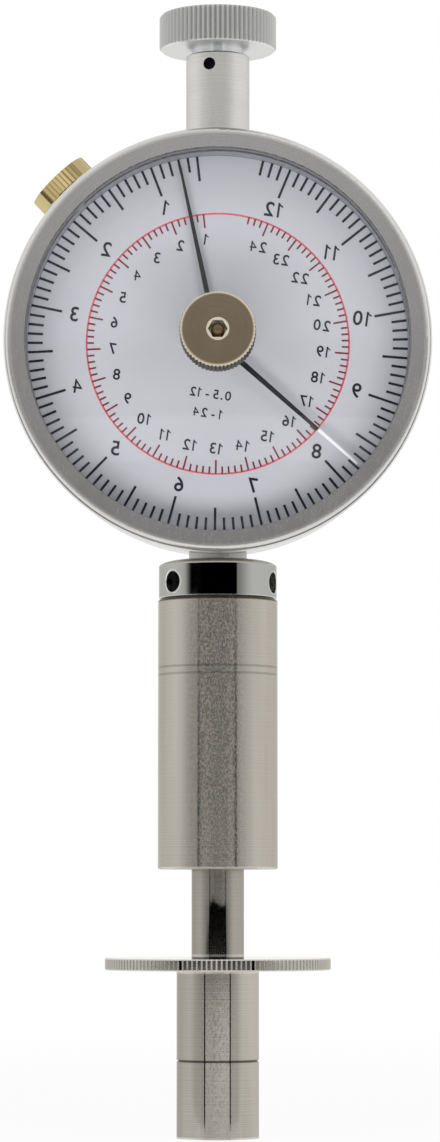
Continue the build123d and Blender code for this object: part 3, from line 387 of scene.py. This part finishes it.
facedMetals = {
    # name: colour, colour of its rings, roughness, rings per metre, their depth, their strength, how metallic
    "case_aluminium": (tint(226, 225, 223), tint(212, 211, 209), 0.14, 3000.0, 0.00001, 0.15, 0.9),
    "cover_aluminium": (tint(190, 191, 192), tint(172, 173, 174), 0.32, 5000.0, 0.00002, 0.4, 1.0),
    "bezel_aluminium": (tint(199, 196, 194), tint(180, 178, 177), 0.26, 6000.0, 0.00001, 0.15, 1.0),
    "ring_grey": (tint(192, 193, 200), tint(178, 179, 186), 0.5, 3000.0, 0.00001, 0.2, 0.35),
    "movement_brass": (tint(205, 178, 110), tint(184, 156, 92), 0.3, 4000.0, 0.00001, 0.3, 1.0),
    "sleeve_brass": (tint(232, 222, 200), tint(206, 194, 170), 0.14, 4000.0, 0.00001, 0.2, 0.5),
    "spindle_steel": (tint(132, 116, 90), tint(104, 88, 66), 0.3, 4000.0, 0.00001, 0.3, 1.0),
}
facedGrain = {"grain": 3200.0, "clouds": 90.0}       # per metre
# the bezel's painted highlight on its rounded rim: radius where it starts, radius where it is full, its colour
bezelRimHighlight = (0.0279, 0.0284, tint(218, 217, 214))


def facedMetal(name, edge=None):
    # metal faced on a lathe about the dial's axis: rings by radius, with fine grain
    colour, shade, rough, ringCount, depth, strength, metallic = facedMetals[name]
    finish = Finish(name, Metallic=metallic, Specular_Tint=tint(225, 225, 225))
    spot = finish.place(dialCentre)
    x, y, z = finish.axes(spot)
    reach = radius(x, z)
    rings = finish.lines(reach, ringCount)
    grain = finish.noise(finish.place(dialCentre, scale=(1, 1, 0.3)), facedGrain["grain"], 3.0, 0.7)
    cloud = finish.noise(spot, facedGrain["clouds"])
    tone = (rings * 0.4 + grain * 0.3 + cloud * 0.3).above(0.5, 0.7)
    metal = finish.between(tone, shade, colour)
    # a painted highlight towards the rim, where one is given
    if edge:
        start, full, light = edge
        metal = finish.between(reach.rising(start, full), metal, light)
    finish.give(Base_Color=metal)
    finish.give(Roughness=rough * 0.75 + grain * (rough * 0.35) + cloud * (rough * 0.15))
    finish.give(Normal=finish.relief(rings + grain * 0.2, depth, strength))
    return finish


knobLook = {
    "face": tint(162, 147, 125),
    "shade": tint(146, 131, 109),
    # painted highlight on the broken edge, and painted shade over the knurled side with lighter teeth
    "rim": tint(205, 197, 174),
    "side": tint(16, 12, 8),
    "tooth": tint(104, 91, 66),
    "toothFrom": 0.00508,
    "rimFrom": 0.00483,          # radius where the broken edge, with its painted highlight, starts
    "sideFrom": -0.0192,         # height towards the reader where the knurled side, with its painted shade, starts
    "ringsPerMetre": 9000.0,
    "grainPerMetre": 3200.0,
    "cloudsPerMetre": 260.0,
}


def knobBrass():
    # faced brass, dull with age: a painted highlight on its broken edge and painted shade over its knurled side,
    # lighter on the teeth
    finish = Finish("knob_brass", Metallic=1.0, Specular_Tint=tint(225, 225, 220))
    spot = finish.place(dialCentre)
    x, y, z = finish.axes(spot)
    reach = radius(x, z)
    rings = finish.lines(reach, knobLook["ringsPerMetre"])
    grain = finish.noise(spot, knobLook["grainPerMetre"], 3.0, 0.7)
    cloud = finish.noise(spot, knobLook["cloudsPerMetre"])
    tone = (rings * 0.4 + grain * 0.3 + cloud * 0.3).above(0.5, 0.4)
    rim = reach.above(knobLook["rimFrom"], 0.0001)
    side = y.above(knobLook["sideFrom"], 0.0002) * rim
    metal = finish.between(rim, finish.between(tone, knobLook["shade"], knobLook["face"]), knobLook["rim"])
    paintedSideShade = finish.between(reach.above(knobLook["toothFrom"], 0.00012), knobLook["side"], knobLook["tooth"])
    finish.give(Base_Color=finish.between(side, metal, paintedSideShade))
    finish.give(Roughness=0.2 + grain * 0.1 + side * 0.1)
    finish.give(Normal=finish.relief(rings + grain * 0.7, 0.00001, 0.25))
    return finish


dialGrain = {"enamelClouds": 60.0, "enamelPeel": 2500.0, "ink": 5200.0}    # per metre
dialColours = {
    # each with the colour of its grain
    "dial_enamel": (tint(187, 188, 194), tint(192, 193, 198)),
    "black_ink": (tint(26, 26, 34), tint(48, 48, 58)),
    "red_ink": (tint(204, 82, 96), tint(218, 116, 126)),
    "dark_red_ink": (tint(112, 42, 56), tint(136, 66, 80)),
}


def dialPaint():
    # baked enamel, with a slight orange-peel
    finish = Finish("dial_enamel", Roughness=0.55, Specular_IOR_Level=0.3)
    spot = finish.place(dialCentre)
    cloud = finish.noise(spot, dialGrain["enamelClouds"])
    peel = finish.noise(spot, dialGrain["enamelPeel"])
    finish.give(Base_Color=finish.between(cloud, *dialColours["dial_enamel"]))
    finish.give(Normal=finish.relief(peel, 0.000004, 0.2))
    return finish


def ink(name):
    # screen ink: thin, with a matt grain
    finish = Finish(name, Specular_IOR_Level=0.25)
    grain = finish.noise(finish.place(dialCentre), dialGrain["ink"])
    finish.give(Base_Color=finish.between(grain.above(0.55, 0.3), *dialColours[name]))
    finish.give(Roughness=0.5 + grain * 0.2)
    return finish


crystalLook = {
    "colour": (0.95, 0.97, 1.0, 1.0),
    "index": 1.3,                # its refraction, which says how fast the glint grows
    "glint": 0.7,
    "smear": 0.01,               # how much of a faint cloud shows everywhere
    "smearsPerMetre": 45.0,
}


def clearCrystal():
    # a clear shell: a mirror where the light grazes it, and nothing elsewhere
    finish = Finish("clear_crystal", Metallic=1.0, Roughness=0.04, Base_Color=crystalLook["colour"])
    facing = finish.node("Fresnel", {}, {"IOR": crystalLook["index"]})
    smear = finish.noise(finish.place(dialCentre), crystalLook["smearsPerMetre"], 3.0)
    finish.give(Alpha=facing * crystalLook["glint"] + smear * crystalLook["smear"])
    return finish


gasketLook = {
    "colours": (tint(116, 117, 119), tint(132, 133, 135)),
    "grainPerMetre": 2400.0,
}


def gasketRubber():
    finish = Finish("gasket_rubber", Roughness=0.7)
    grain = finish.noise(finish.place(dialCentre), gasketLook["grainPerMetre"], 3.0)
    finish.give(Base_Color=finish.between(grain, *gasketLook["colours"]))
    finish.give(Normal=finish.relief(grain, 0.00002, 0.4))
    return finish


handLook = {
    # black paint with the colour of its grain
    "drive": (tint(20, 20, 24), tint(38, 38, 44)),
    "peak": (tint(22, 22, 26), tint(40, 40, 46)),
    "bare": tint(248, 248, 250),     # the peak hand's bright tip
    "bareFrom": 0.0183,              # radius where the paint stops
    "grainPerMetre": 3800.0,
}


def driveLacquer():
    finish = Finish("drive_hand_lacquer", Specular_IOR_Level=0.4)
    grain = finish.noise(finish.place(dialCentre), handLook["grainPerMetre"], 3.0)
    finish.give(Base_Color=finish.between(grain.above(0.6, 0.3), *handLook["drive"]))
    finish.give(Roughness=0.32 + grain * 0.16)
    return finish


def peakLacquer():
    # black paint that stops short of a bare, bright tip
    finish = Finish("peak_hand_lacquer")
    spot = finish.place(dialCentre)
    x, y, z = finish.axes(spot)
    bare = radius(x, z).above(handLook["bareFrom"], 0.0003)
    grain = finish.noise(spot, handLook["grainPerMetre"], 3.0)
    dark = finish.between(grain.above(0.6, 0.3), *handLook["peak"])
    finish.give(Base_Color=finish.between(bare, dark, handLook["bare"]))
    finish.give(Metallic=bare * 0.15, Roughness=0.4 - bare * 0.15)
    return finish


bySlot = {
    "case_aluminium": facedMetal("case_aluminium"), "cover_aluminium": facedMetal("cover_aluminium"),
    "bezel_aluminium": facedMetal("bezel_aluminium", bezelRimHighlight), "ring_grey": facedMetal("ring_grey"),
    "movement_brass": facedMetal("movement_brass"), "knob_brass": knobBrass(), "lock_brass": lockBrass(),
    "stem_steel": plainSteel("stem_steel"), "handle_steel": handleSteel(),
    "polished_steel": plainSteel("polished_steel"), "turned_steel": turnedSteel("barrel"),
    "screw_steel": plainSteel("screw_steel"), "black_steel": plainSteel("blacked_steel"),
    "spring_steel": plainSteel("spring_wire"), "gasket_rubber": gasketRubber(),
    "dial_print": dialPaint(), "crystal_glass": clearCrystal(),
    "hand_black": driveLacquer(), "peak_hand_paint": peakLacquer(),
}
for node in nodes.values():
    for slot in node.material_slots:
        slot.material = bySlot[slot.material.name].material
paint(turnedSteel("rod"), "plunger_rod")
paint(turnedSteel("tip"), "probe_tip")
paint(collarSteel(), "lock_collar")
paint(plainSteel("neck_steel"), "neck_bush")
paint(plainSteel("stud_steel"), "handle_stud")
paint(facedMetal("sleeve_brass"), "reset_sleeve")
paint(facedMetal("spindle_steel"), "reset_spindle")
print("finishes:", len(bySlot))


def placed(name, data):
    # a new object at the origin
    made = bpy.data.objects.new(name, data)
    scene.collection.objects.link(made)
    return made


def meshObject(name, points, faces, finish):
    mesh = bpy.data.meshes.new(name)
    mesh.from_pydata(points.tolist(), [], faces)
    mesh.materials.append(finish.material)
    return placed(name, mesh)


def closedPiece(name, points, faces, finish, body="bezel"):
    # a closed mesh with its faces turned outwards, riding on one body
    piece = meshObject(name, points, faces, finish)
    tidy = bmesh.new()
    tidy.from_mesh(piece.data)
    bmesh.ops.remove_doubles(tidy, verts=tidy.verts, dist=1e-8)
    bmesh.ops.recalc_face_normals(tidy, faces=tidy.faces)
    tidy.to_mesh(piece.data)
    tidy.free()
    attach(piece, body)
    return piece


def ringFaces(around, corners):
    # the four-sided faces from each profile of a ring to the next one, by the numbers of their points
    spoke, corner = np.meshgrid(np.arange(around), np.arange(corners), indexing="ij")
    here, after = spoke * corners, (spoke + 1) % around * corners
    beside = (corner + 1) % corners
    return np.stack([here + corner, after + corner, after + beside, here + beside], -1).reshape(-1, 4).tolist()


dialPrint = {
    "face": -0.0053,            # the enamel's height towards the reader
    "ink": 0.00003,             # how thick the print stands
    "turn": -8.1,               # the whole print is turned clockwise, in degrees
    # each scale: first and last value, step from tick to tick, degrees for each one,
    # radius where its ticks start, lengths of a tick, a half and a whole, their width,
    # and its numbers: the first, past the last, radius, height
    "outer": {
        "span": (0.5, 12.3), "step": 0.1, "perOne": 28.8,
        "start": 0.02607, "lengths": (0.00206, 0.00343, 0.00425), "width": 0.00034,
        "numbers": (1, 13, 0.0201, 0.00206),
    },
    "inner": {
        "span": (1.0, 24.6), "step": 0.2, "perOne": 14.4,
        "start": 0.018, "lengths": (0.001, 0.001, 0.0019), "width": 0.00024,
        "numbers": (1, 25, 0.0145, 0.00154),
    },
    "redRing": (0.018, 0.00025),        # radius of its middle, and width
    "edgeRing": (0.02617, 0.0002),
    # words, height, and their middle to the right and up from the dial's centre
    "ranges": (("0.5 - 12", 0.0013, 0.0, -0.0070), ("1 - 24", 0.0013, 0.0, -0.0097)),
}


def onDial(across, up, depth):
    # points measured right and up from the dial's centre, and out from its face
    return np.stack([across, dialPrint["face"] - depth, dialCentre[2] + up], -1)


def tickBars(name, scale, finish):
    # one thin bar for each division, from the start radius inwards, all its corners at once:
    # place = reach * (-sin, cos) of its angle + side * (cos, sin)
    first, last = scale["span"]
    step = scale["step"]
    count = round((last - first) / step) + 1
    value = first + step * np.arange(count)
    tick, perOne = np.round(value / step).astype(int), round(1 / step)
    short, half, whole = scale["lengths"]
    length = np.select([tick % perOne == 0, tick * 2 % perOne == 0], [whole, half], short)
    angle = np.radians(scale["perOne"] * value + dialPrint["turn"])[:, None]
    reach = scale["start"] - length[:, None] * np.array([0, 0, 1, 1, 0, 0, 1, 1])
    side = scale["width"] / 2 * np.array([-1, 1, 1, -1, -1, 1, 1, -1])
    depth = np.broadcast_to(dialPrint["ink"] * np.array([0, 0, 0, 0, 1, 1, 1, 1]), reach.shape)
    across = -np.sin(angle) * reach + np.cos(angle) * side
    up = np.cos(angle) * reach + np.sin(angle) * side
    points = onDial(across, up, depth).reshape(-1, 3)
    box = np.array([[0, 3, 2, 1], [4, 5, 6, 7], [0, 1, 5, 4], [1, 2, 6, 5], [2, 3, 7, 6], [3, 0, 4, 7]])
    faces = (box + 8 * np.arange(count)[:, None, None]).reshape(-1, 4)
    closedPiece(name, points, faces.tolist(), finish)


def ringLine(name, middle, width, finish, around=256):
    # a flat line carried round a circle: a four-cornered profile on each of many spokes
    angle = np.linspace(0, 2 * np.pi, around, endpoint=False)[:, None]
    reach = middle + width / 2 * np.array([-1, 1, 1, -1])
    depth = np.broadcast_to(dialPrint["ink"] * np.array([0, 0, 1, 1]), (around, 4))
    points = onDial(np.sin(angle) * reach, np.cos(angle) * reach, depth).reshape(-1, 3)
    closedPiece(name, points, ringFaces(around, 4), finish)


numberShape = {
    "gap": 0.23,              # between marks, in heights
    "space": 0.22,            # what a blank adds
    "bold": 0.014,            # how far the font's outlines are moved out, in its own units
    "thin": "4",              # marks whose outlines would meet, so they stay
    # the figure one, with its flag, right and up from its lower left corner, in heights
    "one": (
        (0.21, 0.0), (0.35, 0.0), (0.35, 1.0), (0.25, 1.0), (0.16, 0.88),
        (0.0, 0.79), (0.0, 0.68), (0.12, 0.73), (0.21, 0.8),
    ),
}


def fontMark(mark):
    # one mark of the built-in font, flat, in the font's own units
    curve = bpy.data.curves.new("mark", "FONT")
    curve.body = mark
    curve.resolution_u = 4
    curve.offset = 0.0 if mark in numberShape["thin"] else numberShape["bold"]
    lettering = placed("mark", curve)
    bpy.context.view_layer.update()
    mesh = bpy.data.meshes.new_from_object(lettering.evaluated_get(bpy.context.evaluated_depsgraph_get()))
    bpy.data.objects.remove(lettering)
    points = np.zeros(len(mesh.vertices) * 3)
    mesh.vertices.foreach_get("co", points)
    faces = [list(face.vertices) for face in mesh.polygons]
    bpy.data.meshes.remove(mesh)
    return points.reshape(-1, 3)[:, :2], faces


def markShapes(marks):
    # each mark in heights of the figure nought, on the same foot line
    nought = fontMark("0")[0]
    foot, tall = nought[:, 1].min(), np.ptp(nought[:, 1])
    one = np.array(numberShape["one"])
    shapes = {"1": (one, [list(range(len(one)))])}
    for mark in marks:
        flat, faces = fontMark(mark)
        shapes[mark] = ((flat - (0, foot)) / tall, faces)
    return shapes


marks = markShapes("023456789.-")


def letterMesh(words, height):
    # the words as flat marks of a given height, about their own middle
    points, faces, pen, start = [], [], 0.0, 0
    for mark in words:
        if mark == " ":
            pen += numberShape["space"]
            continue
        flat, cells = marks[mark]
        low, high = flat[:, 0].min(), flat[:, 0].max()
        points.append(flat + (pen - low, 0))
        faces += [[start + corner for corner in cell] for cell in cells]
        pen += high - low + numberShape["gap"]
        start += len(flat)
    flat = np.concatenate(points)
    middle = (flat[:, 0].min() + flat[:, 0].max()) / 2
    return (flat - (middle, 0.5)) * height, faces


def mirrorWords(words, height, right, up):
    # letters written the other way round, turned with the dial, as the front and the back of a sheet of ink:
    # across = right - x and rise = up + y, both turned about the dial's centre
    flat, faces = letterMesh(words, height)
    turn = math.radians(dialPrint["turn"])
    across, rise = right - flat[:, 0], up + flat[:, 1]
    spunAcross = across * math.cos(turn) - rise * math.sin(turn)
    spunRise = across * math.sin(turn) + rise * math.cos(turn)
    front = onDial(spunAcross, spunRise, np.full(len(flat), dialPrint["ink"]))
    back = onDial(spunAcross, spunRise, np.zeros(len(flat)))
    return front, back, faces


def openEdges(cells):
    # the edges that only one cell has, in that cell's direction
    edges = {}
    for cell in cells:
        for first, second in zip(cell, cell[1:] + cell[:1]):
            key = (min(first, second), max(first, second))
            edges[key] = None if key in edges else (first, second)
    return [edge for edge in edges.values() if edge]


def numberPiece(name, wordList, finish):
    # several words in one mesh: each is a front, a back and the walls along its open edges
    points, faces = [], []
    start = 0
    for words, height, right, up in wordList:
        front, back, cells = mirrorWords(words, height, right, up)
        behind = start + len(front)
        points += [front, back]
        faces += [[start + corner for corner in cell] for cell in cells]
        faces += [[behind + corner for corner in reversed(cell)] for cell in cells]
        for first, second in openEdges(cells):
            faces.append([start + second, start + first, behind + first, behind + second])
        start += 2 * len(front)
    closedPiece(name, np.concatenate(points), faces, finish)


def scaleNumbers(scale):
    # the numbers of one scale with their height and place, before the dial's turn:
    # right = -reach * sin of the angle, up = reach * cos of it
    first, past, reach, height = scale["numbers"]
    values = np.arange(first, past)
    angles = np.radians(scale["perOne"] * values)
    return [(str(v), height, -reach * math.sin(a), reach * math.cos(a)) for v, a in zip(values, angles)]


def printedDial():
    blackInk, redInk, darkRedInk = ink("black_ink"), ink("red_ink"), ink("dark_red_ink")
    tickBars("outer_ticks", dialPrint["outer"], blackInk)
    tickBars("inner_ticks", dialPrint["inner"], darkRedInk)
    ringLine("red_ring", *dialPrint["redRing"], redInk)
    ringLine("edge_line", *dialPrint["edgeRing"], blackInk)
    numberPiece("outer_numbers", scaleNumbers(dialPrint["outer"]), blackInk)
    numberPiece("inner_numbers", scaleNumbers(dialPrint["inner"]), blackInk)
    numberPiece("range_numbers", dialPrint["ranges"], blackInk)


printedDial()
print("dial: printed")


flange = {
    "outer": 0.01545,
    "inner": 0.0026,
    "foot": 0.0228,
    "head": 0.0244,
    "edge": 0.00014,          # broken edges, up and down
    "teeth": 148,
    "groove": 0.0001,         # depth of a groove of the knurl
    "rimDepth": 0.0004,       # the rim's own finish starts this far in
    # lighter colour in the grooves and on the broken edges, where it is a painted highlight
    "matt": tint(216, 212, 204),
    "rough": (0.03, 0.03, 0.22),      # its roughness, what clouds add and what the matt places add
    "cloudsPerMetre": 400.0,
    # places across one tooth, as shares of the pitch: the land, then the groove
    "phases": (0.0, 0.15, 0.3, 0.45, 0.58, 0.68, 0.79, 0.9),
    "land": 0.58,
}


def flangeSteel():
    # polished lands, with matt grooves and matt broken edges, both lighter in colour: a painted highlight on the
    # broken edges
    finish = Finish("flange_steel", Metallic=1.0, Specular_Tint=turned["edge"])
    spot = finish.place()
    x, y, z = finish.axes(spot)
    reach = radius(x, y)
    outer, depth, edge = flange["outer"], flange["groove"], flange["edge"] * 1.2
    rim = reach.above(outer - flange["rimDepth"], 0.0001)
    groove = 1.0 - reach.above(outer - depth * 0.35, depth * 0.3)
    broken = 1.0 - z.within(flange["foot"] + edge, flange["head"] - edge, 0.00005)
    matt = groove.larger(broken) * rim
    cloud = finish.noise(spot, flange["cloudsPerMetre"])
    metal = finish.between(cloud, turned["shade"], turned["steel"])
    finish.give(Base_Color=finish.between(matt, metal, flange["matt"]))
    polished, clouded, dulled = flange["rough"]
    finish.give(Roughness=polished + cloud * clouded + matt * dulled)
    return finish


def knurledFlange():
    # the disc's cross-section, a broken-edged bar, on spokes round the axis; the rim sinks as
    # depth * sin(pi * share of the groove) in each groove
    teeth, phases, land = flange["teeth"], np.array(flange["phases"]), flange["land"]
    angle = ((np.arange(teeth)[:, None] + phases) / teeth).ravel() * 2 * np.pi
    sunk = np.where(phases > land, np.sin(np.pi * (phases - land) / (1 - land)), 0.0) * flange["groove"]
    inner, outer, edge = flange["inner"], flange["outer"], flange["edge"]
    foot, head = flange["foot"], flange["head"]
    reach = np.array([inner, outer - edge, outer, outer, outer - edge, inner])
    height = np.array([foot, foot, foot + edge, head - edge, head, head])
    onRim = np.array([0, 1, 1, 1, 1, 0])
    spoke = reach - np.tile(sunk, teeth)[:, None] * onRim
    sine, cosine = np.sin(angle)[:, None], np.cos(angle)[:, None]
    points = np.stack([spoke * sine, -spoke * cosine, np.broadcast_to(height, spoke.shape)], -1).reshape(-1, 3)
    piece = closedPiece("knurled_flange", points, ringFaces(len(angle), len(reach)), flangeSteel(), "plunger")
    piece.data.shade_smooth()
    piece.data.set_sharp_from_angle(angle=math.radians(24))
    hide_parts("stop_flange")


knurledFlange()
print("flange: knurled")


studio = {
    "floorColour": (0.93, 0.93, 0.93, 1.0),
    "floorSpan": (-3.0, 3.0, -0.03, 3.0),    # from and to, across and away from the reader, in metres
    "shadowReach": (0.12, 0.5),      # the floor's shading fades out between these distances
    "shadowShare": 0.95,             # how much plain white the floor shows near the object
    "worldLight": 0.24,              # what the world gives a matt surface; seen straight or in metal it is 1
    "middle": (0.0, 0.0, 0.09),
    "lamps": {
        # name: azimuth, elevation, distance, width, height, watts
        "left_panel": (-42.0, 2.0, 1.3, 1.0, 1.0, 5.6),
        "right_panel": (42.0, 2.0, 1.3, 1.0, 1.0, 4.6),
        "low_panel": (0.0, -33.0, 1.3, 1.8, 0.4, 14.0),
        "top_panel": (0.0, 55.0, 1.4, 1.4, 0.8, 6.5),
    },
}

frontScreen = {
    # what the metal mirrors; pairs are degrees of azimuth, with 0 towards the reader, or of elevation
    "radius": 3.0,
    "span": (-100.0, 90.0, -18.0, 80.0),
    "leftFade": (-93.0, -40.0),      # white turns grey between these azimuths
    "rightFade": (31.0, 76.0),       # and grey turns white again
    "least": (0.48, 0.32, 0.78),     # the least light there: low down on the left, on the right, and high up
    "leastTurn": 50.0,               # left turns to right over this many degrees
    "dark": (-34.5, 33.2),           # the dark middle
    "foot": (-2.42, -2.28),          # it is light under the first elevation and black over the second
    "top": (4.9, 10.2),              # and it turns light again between these
    "footLight": (0.72, 0.95),       # the least light under its foot, at its sides and in the middle
    "flare": (-2.1, -1.1),           # the dark middle is wider under this, by flareWidth on each side
    "flareWidth": (22.0, 9.0),
    "flareSoft": 14.0,
    "flareEnd": -2.04,
    "slot": (3.95, 4.92),            # a black slot, wider than the middle
    "slotLeft": (-70.0, -52.0),
    "slotRight": (37.0, 38.5),
    "slotSoft": 0.2,
    "patch": (-16.0, -8.5),          # a black patch lower down
    "patchHalf": 20.0,
    "patchSoft": (2.0, 0.5),         # of its sides, and of its foot and top
    "veil": (-0.6, -0.3, 0.13),      # it sets in between two elevations, up to the slot: this much light in the dark
    "veilFade": (2.0, 4.0, 0.4),     # it fades round this elevation, over this many degrees, by this share
}

gapFlags = {
    # two narrow black flags near the object
    "azimuths": (-36.0, 34.0),
    "width": 3.5,
    "distance": 0.14,
    "rise": (-52.0, -2.0),
}


def skyPoint(azimuth, elevation, distance):
    # a point round the object: azimuth 0 is towards the reader, elevation is above the floor, in degrees
    side, rise = np.radians(azimuth), np.radians(elevation)
    way = np.stack([np.sin(side) * np.cos(rise), -np.cos(side) * np.cos(rise), np.sin(rise)], -1)
    return np.array(studio["middle"]) + way * distance


def skyPatch(name, span, distance, finish, across=48, up=24):
    # a piece of a sphere round the object, as a grid of azimuth and elevation, facing inwards
    fromSide, toSide, fromRise, toRise = span
    sides, rises = np.linspace(fromSide, toSide, across), np.linspace(fromRise, toRise, up)
    points = skyPoint(*np.meshgrid(sides, rises, indexing="ij"), distance).reshape(-1, 3)
    column, row = np.meshgrid(np.arange(across - 1), np.arange(up - 1), indexing="ij")
    first = column * up + row
    cells = np.stack([first, first + 1, first + up + 1, first + up], -1).reshape(-1, 4)
    patch = meshObject(name, points, cells.tolist(), finish)
    patch.visible_camera = False
    patch.visible_diffuse = False
    patch.visible_shadow = False


def glow(name):
    # a finish for plain light, which isn't sampled as a lamp
    finish = Finish(name)
    finish.material.cycles.emission_sampling = "NONE"
    return finish


def screenFinish():
    # white that turns grey towards the reader, with a dark middle and black patches: the light is the
    # largest of grey level * (1 - dark), the veil, and what is left under the middle's foot
    look = frontScreen
    finish = glow("front_screen")
    x, y, z = finish.axes(finish.place(studio["middle"]))
    side = x.maths("ARCTAN2", 0.0 - y) * (180 / math.pi)
    rise = (z / look["radius"]).maths("ARCSINE") * (180 / math.pi)
    foot, top = rise.rising(*look["foot"]), rise.rising(*look["top"])

    lowLeft, lowRight, high = look["least"]
    low = lowLeft + side.above(0.0, look["leastTurn"]) * (lowRight - lowLeft)
    least = low + top * (high - low)
    grey = side.rising(*look["leftFade"]) * (1.0 - side.rising(*look["rightFade"]))
    light = 1.0 - grey * (1.0 - least)

    flare = (1.0 - rise.rising(*look["flare"])) * rise.above(look["flareEnd"], 0.04)
    (left, right), (moreLeft, moreRight) = look["dark"], look["flareWidth"]
    middle = side.within(left - flare * moreLeft, right + flare * moreRight, flare * look["flareSoft"] + 1.0)
    under, over = look["slot"]
    slot = side.rising(*look["slotLeft"]) * (1.0 - side.rising(*look["slotRight"]))
    slot = slot * rise.within(under, over, look["slotSoft"])
    half, (softSide, softRise) = look["patchHalf"], look["patchSoft"]
    patch = side.within(-half, half, softSide) * rise.within(*look["patch"], softRise)
    dark = (middle * foot * (1.0 - top)).larger(slot).larger(patch)

    veilFrom, veilFull, veil = look["veil"]
    fadeAt, fadeOver, fade = look["veilFade"]
    veiled = rise.rising(veilFrom, veilFull) * (1.0 - rise.rising(under - 0.2, under - 0.05))
    veiled = veiled * (veil * (1.0 - rise.above(fadeAt, fadeOver) * fade))
    footSides, footMiddle = look["footLight"]
    below = (1.0 - foot) * (middle * (footMiddle - footSides) + footSides)
    lit = (light * (1.0 - dark)).larger(veiled.larger(below) * (1.0 - patch))
    finish.show(finish.node("Emission", {}, {"Strength": lit}))
    return finish


def floorFinish():
    # matt white with the object's shadow on it; what sees it straight or in metal gets plain white further out
    finish = Finish("studio_floor", Roughness=0.9, Specular_IOR_Level=0.0)
    x, y, z = finish.axes(finish.place())
    white = studio["floorColour"]
    grain = finish.noise(finish.place(), 2.0)
    finish.give(Base_Color=finish.between(grain, white, tuple(min(1.0, part * 1.02) for part in white)))
    least = studio["shadowShare"]
    share = finish.seen() * (least + radius(x, y).rising(*studio["shadowReach"]) * (1.0 - least))
    matt = Wire(finish, finish.tree.nodes["Principled BSDF"].outputs[0])
    finish.show(finish.node("MixShader", {}, {0: share, 1: matt, 2: finish.node("Emission")}))
    return finish


def buildStudio():
    left, right, front, back = studio["floorSpan"]
    corners = np.array([(left, front, 0), (right, front, 0), (right, back, 0), (left, back, 0)])
    meshObject("studio_floor", corners, [(0, 1, 2, 3)], floorFinish())
    skyPatch("front_screen", frontScreen["span"], frontScreen["radius"], screenFinish())
    black = glow("black_flag")
    black.show(black.node("Emission", {}, {"Strength": 0.0}))
    half = gapFlags["width"] / 2
    for number, azimuth in enumerate(gapFlags["azimuths"]):
        span = (azimuth - half, azimuth + half, *gapFlags["rise"])
        skyPatch(f"gap_flag_{number}", span, gapFlags["distance"], black, 3)
    for name, (azimuth, elevation, distance, width, height, watts) in studio["lamps"].items():
        light = bpy.data.lights.new(name, "AREA")
        light.shape = "RECTANGLE"
        light.size = width
        light.size_y = height
        light.energy = watts
        lamp = placed(name, light)
        lamp.location = skyPoint(azimuth, elevation, distance)
        lamp.rotation_euler = (math.radians(90 - elevation), 0.0, math.radians(azimuth))
        lamp.visible_glossy = False


def lightWorld():
    # white where it is seen straight, in metal or through glass, and the world's own light elsewhere
    world = bpy.data.worlds.new("studio")
    scene.world = world
    world.use_nodes = True
    world.cycles.sampling_method = "NONE"
    sky = Board(world.node_tree)
    background = sky.tree.nodes["Background"]
    background.inputs["Color"].default_value = (1, 1, 1, 1)
    level = studio["worldLight"]
    sky.feed(background.inputs["Strength"], level + sky.seen() * (1.0 - level))


buildStudio()
lightWorld()
print("studio: lit")


cameraSettings = {
    "place": (0.0003, -0.5495, 0.03166),
    "pitch": 94.77,      # degrees from straight down
    "lens": 126.1,
    "sensor": 36.0,
    "clip": (0.01, 50.0),
}


def placeCamera():
    lens = bpy.data.cameras.new("camera")
    lens.lens = cameraSettings["lens"]
    lens.sensor_width = cameraSettings["sensor"]
    lens.clip_start, lens.clip_end = cameraSettings["clip"]
    camera = placed("camera", lens)
    camera.location = cameraSettings["place"]
    camera.rotation_euler = (math.radians(cameraSettings["pitch"]), 0.0, 0.0)
    scene.camera = camera


placeCamera()
scene.view_settings.view_transform = "Standard"
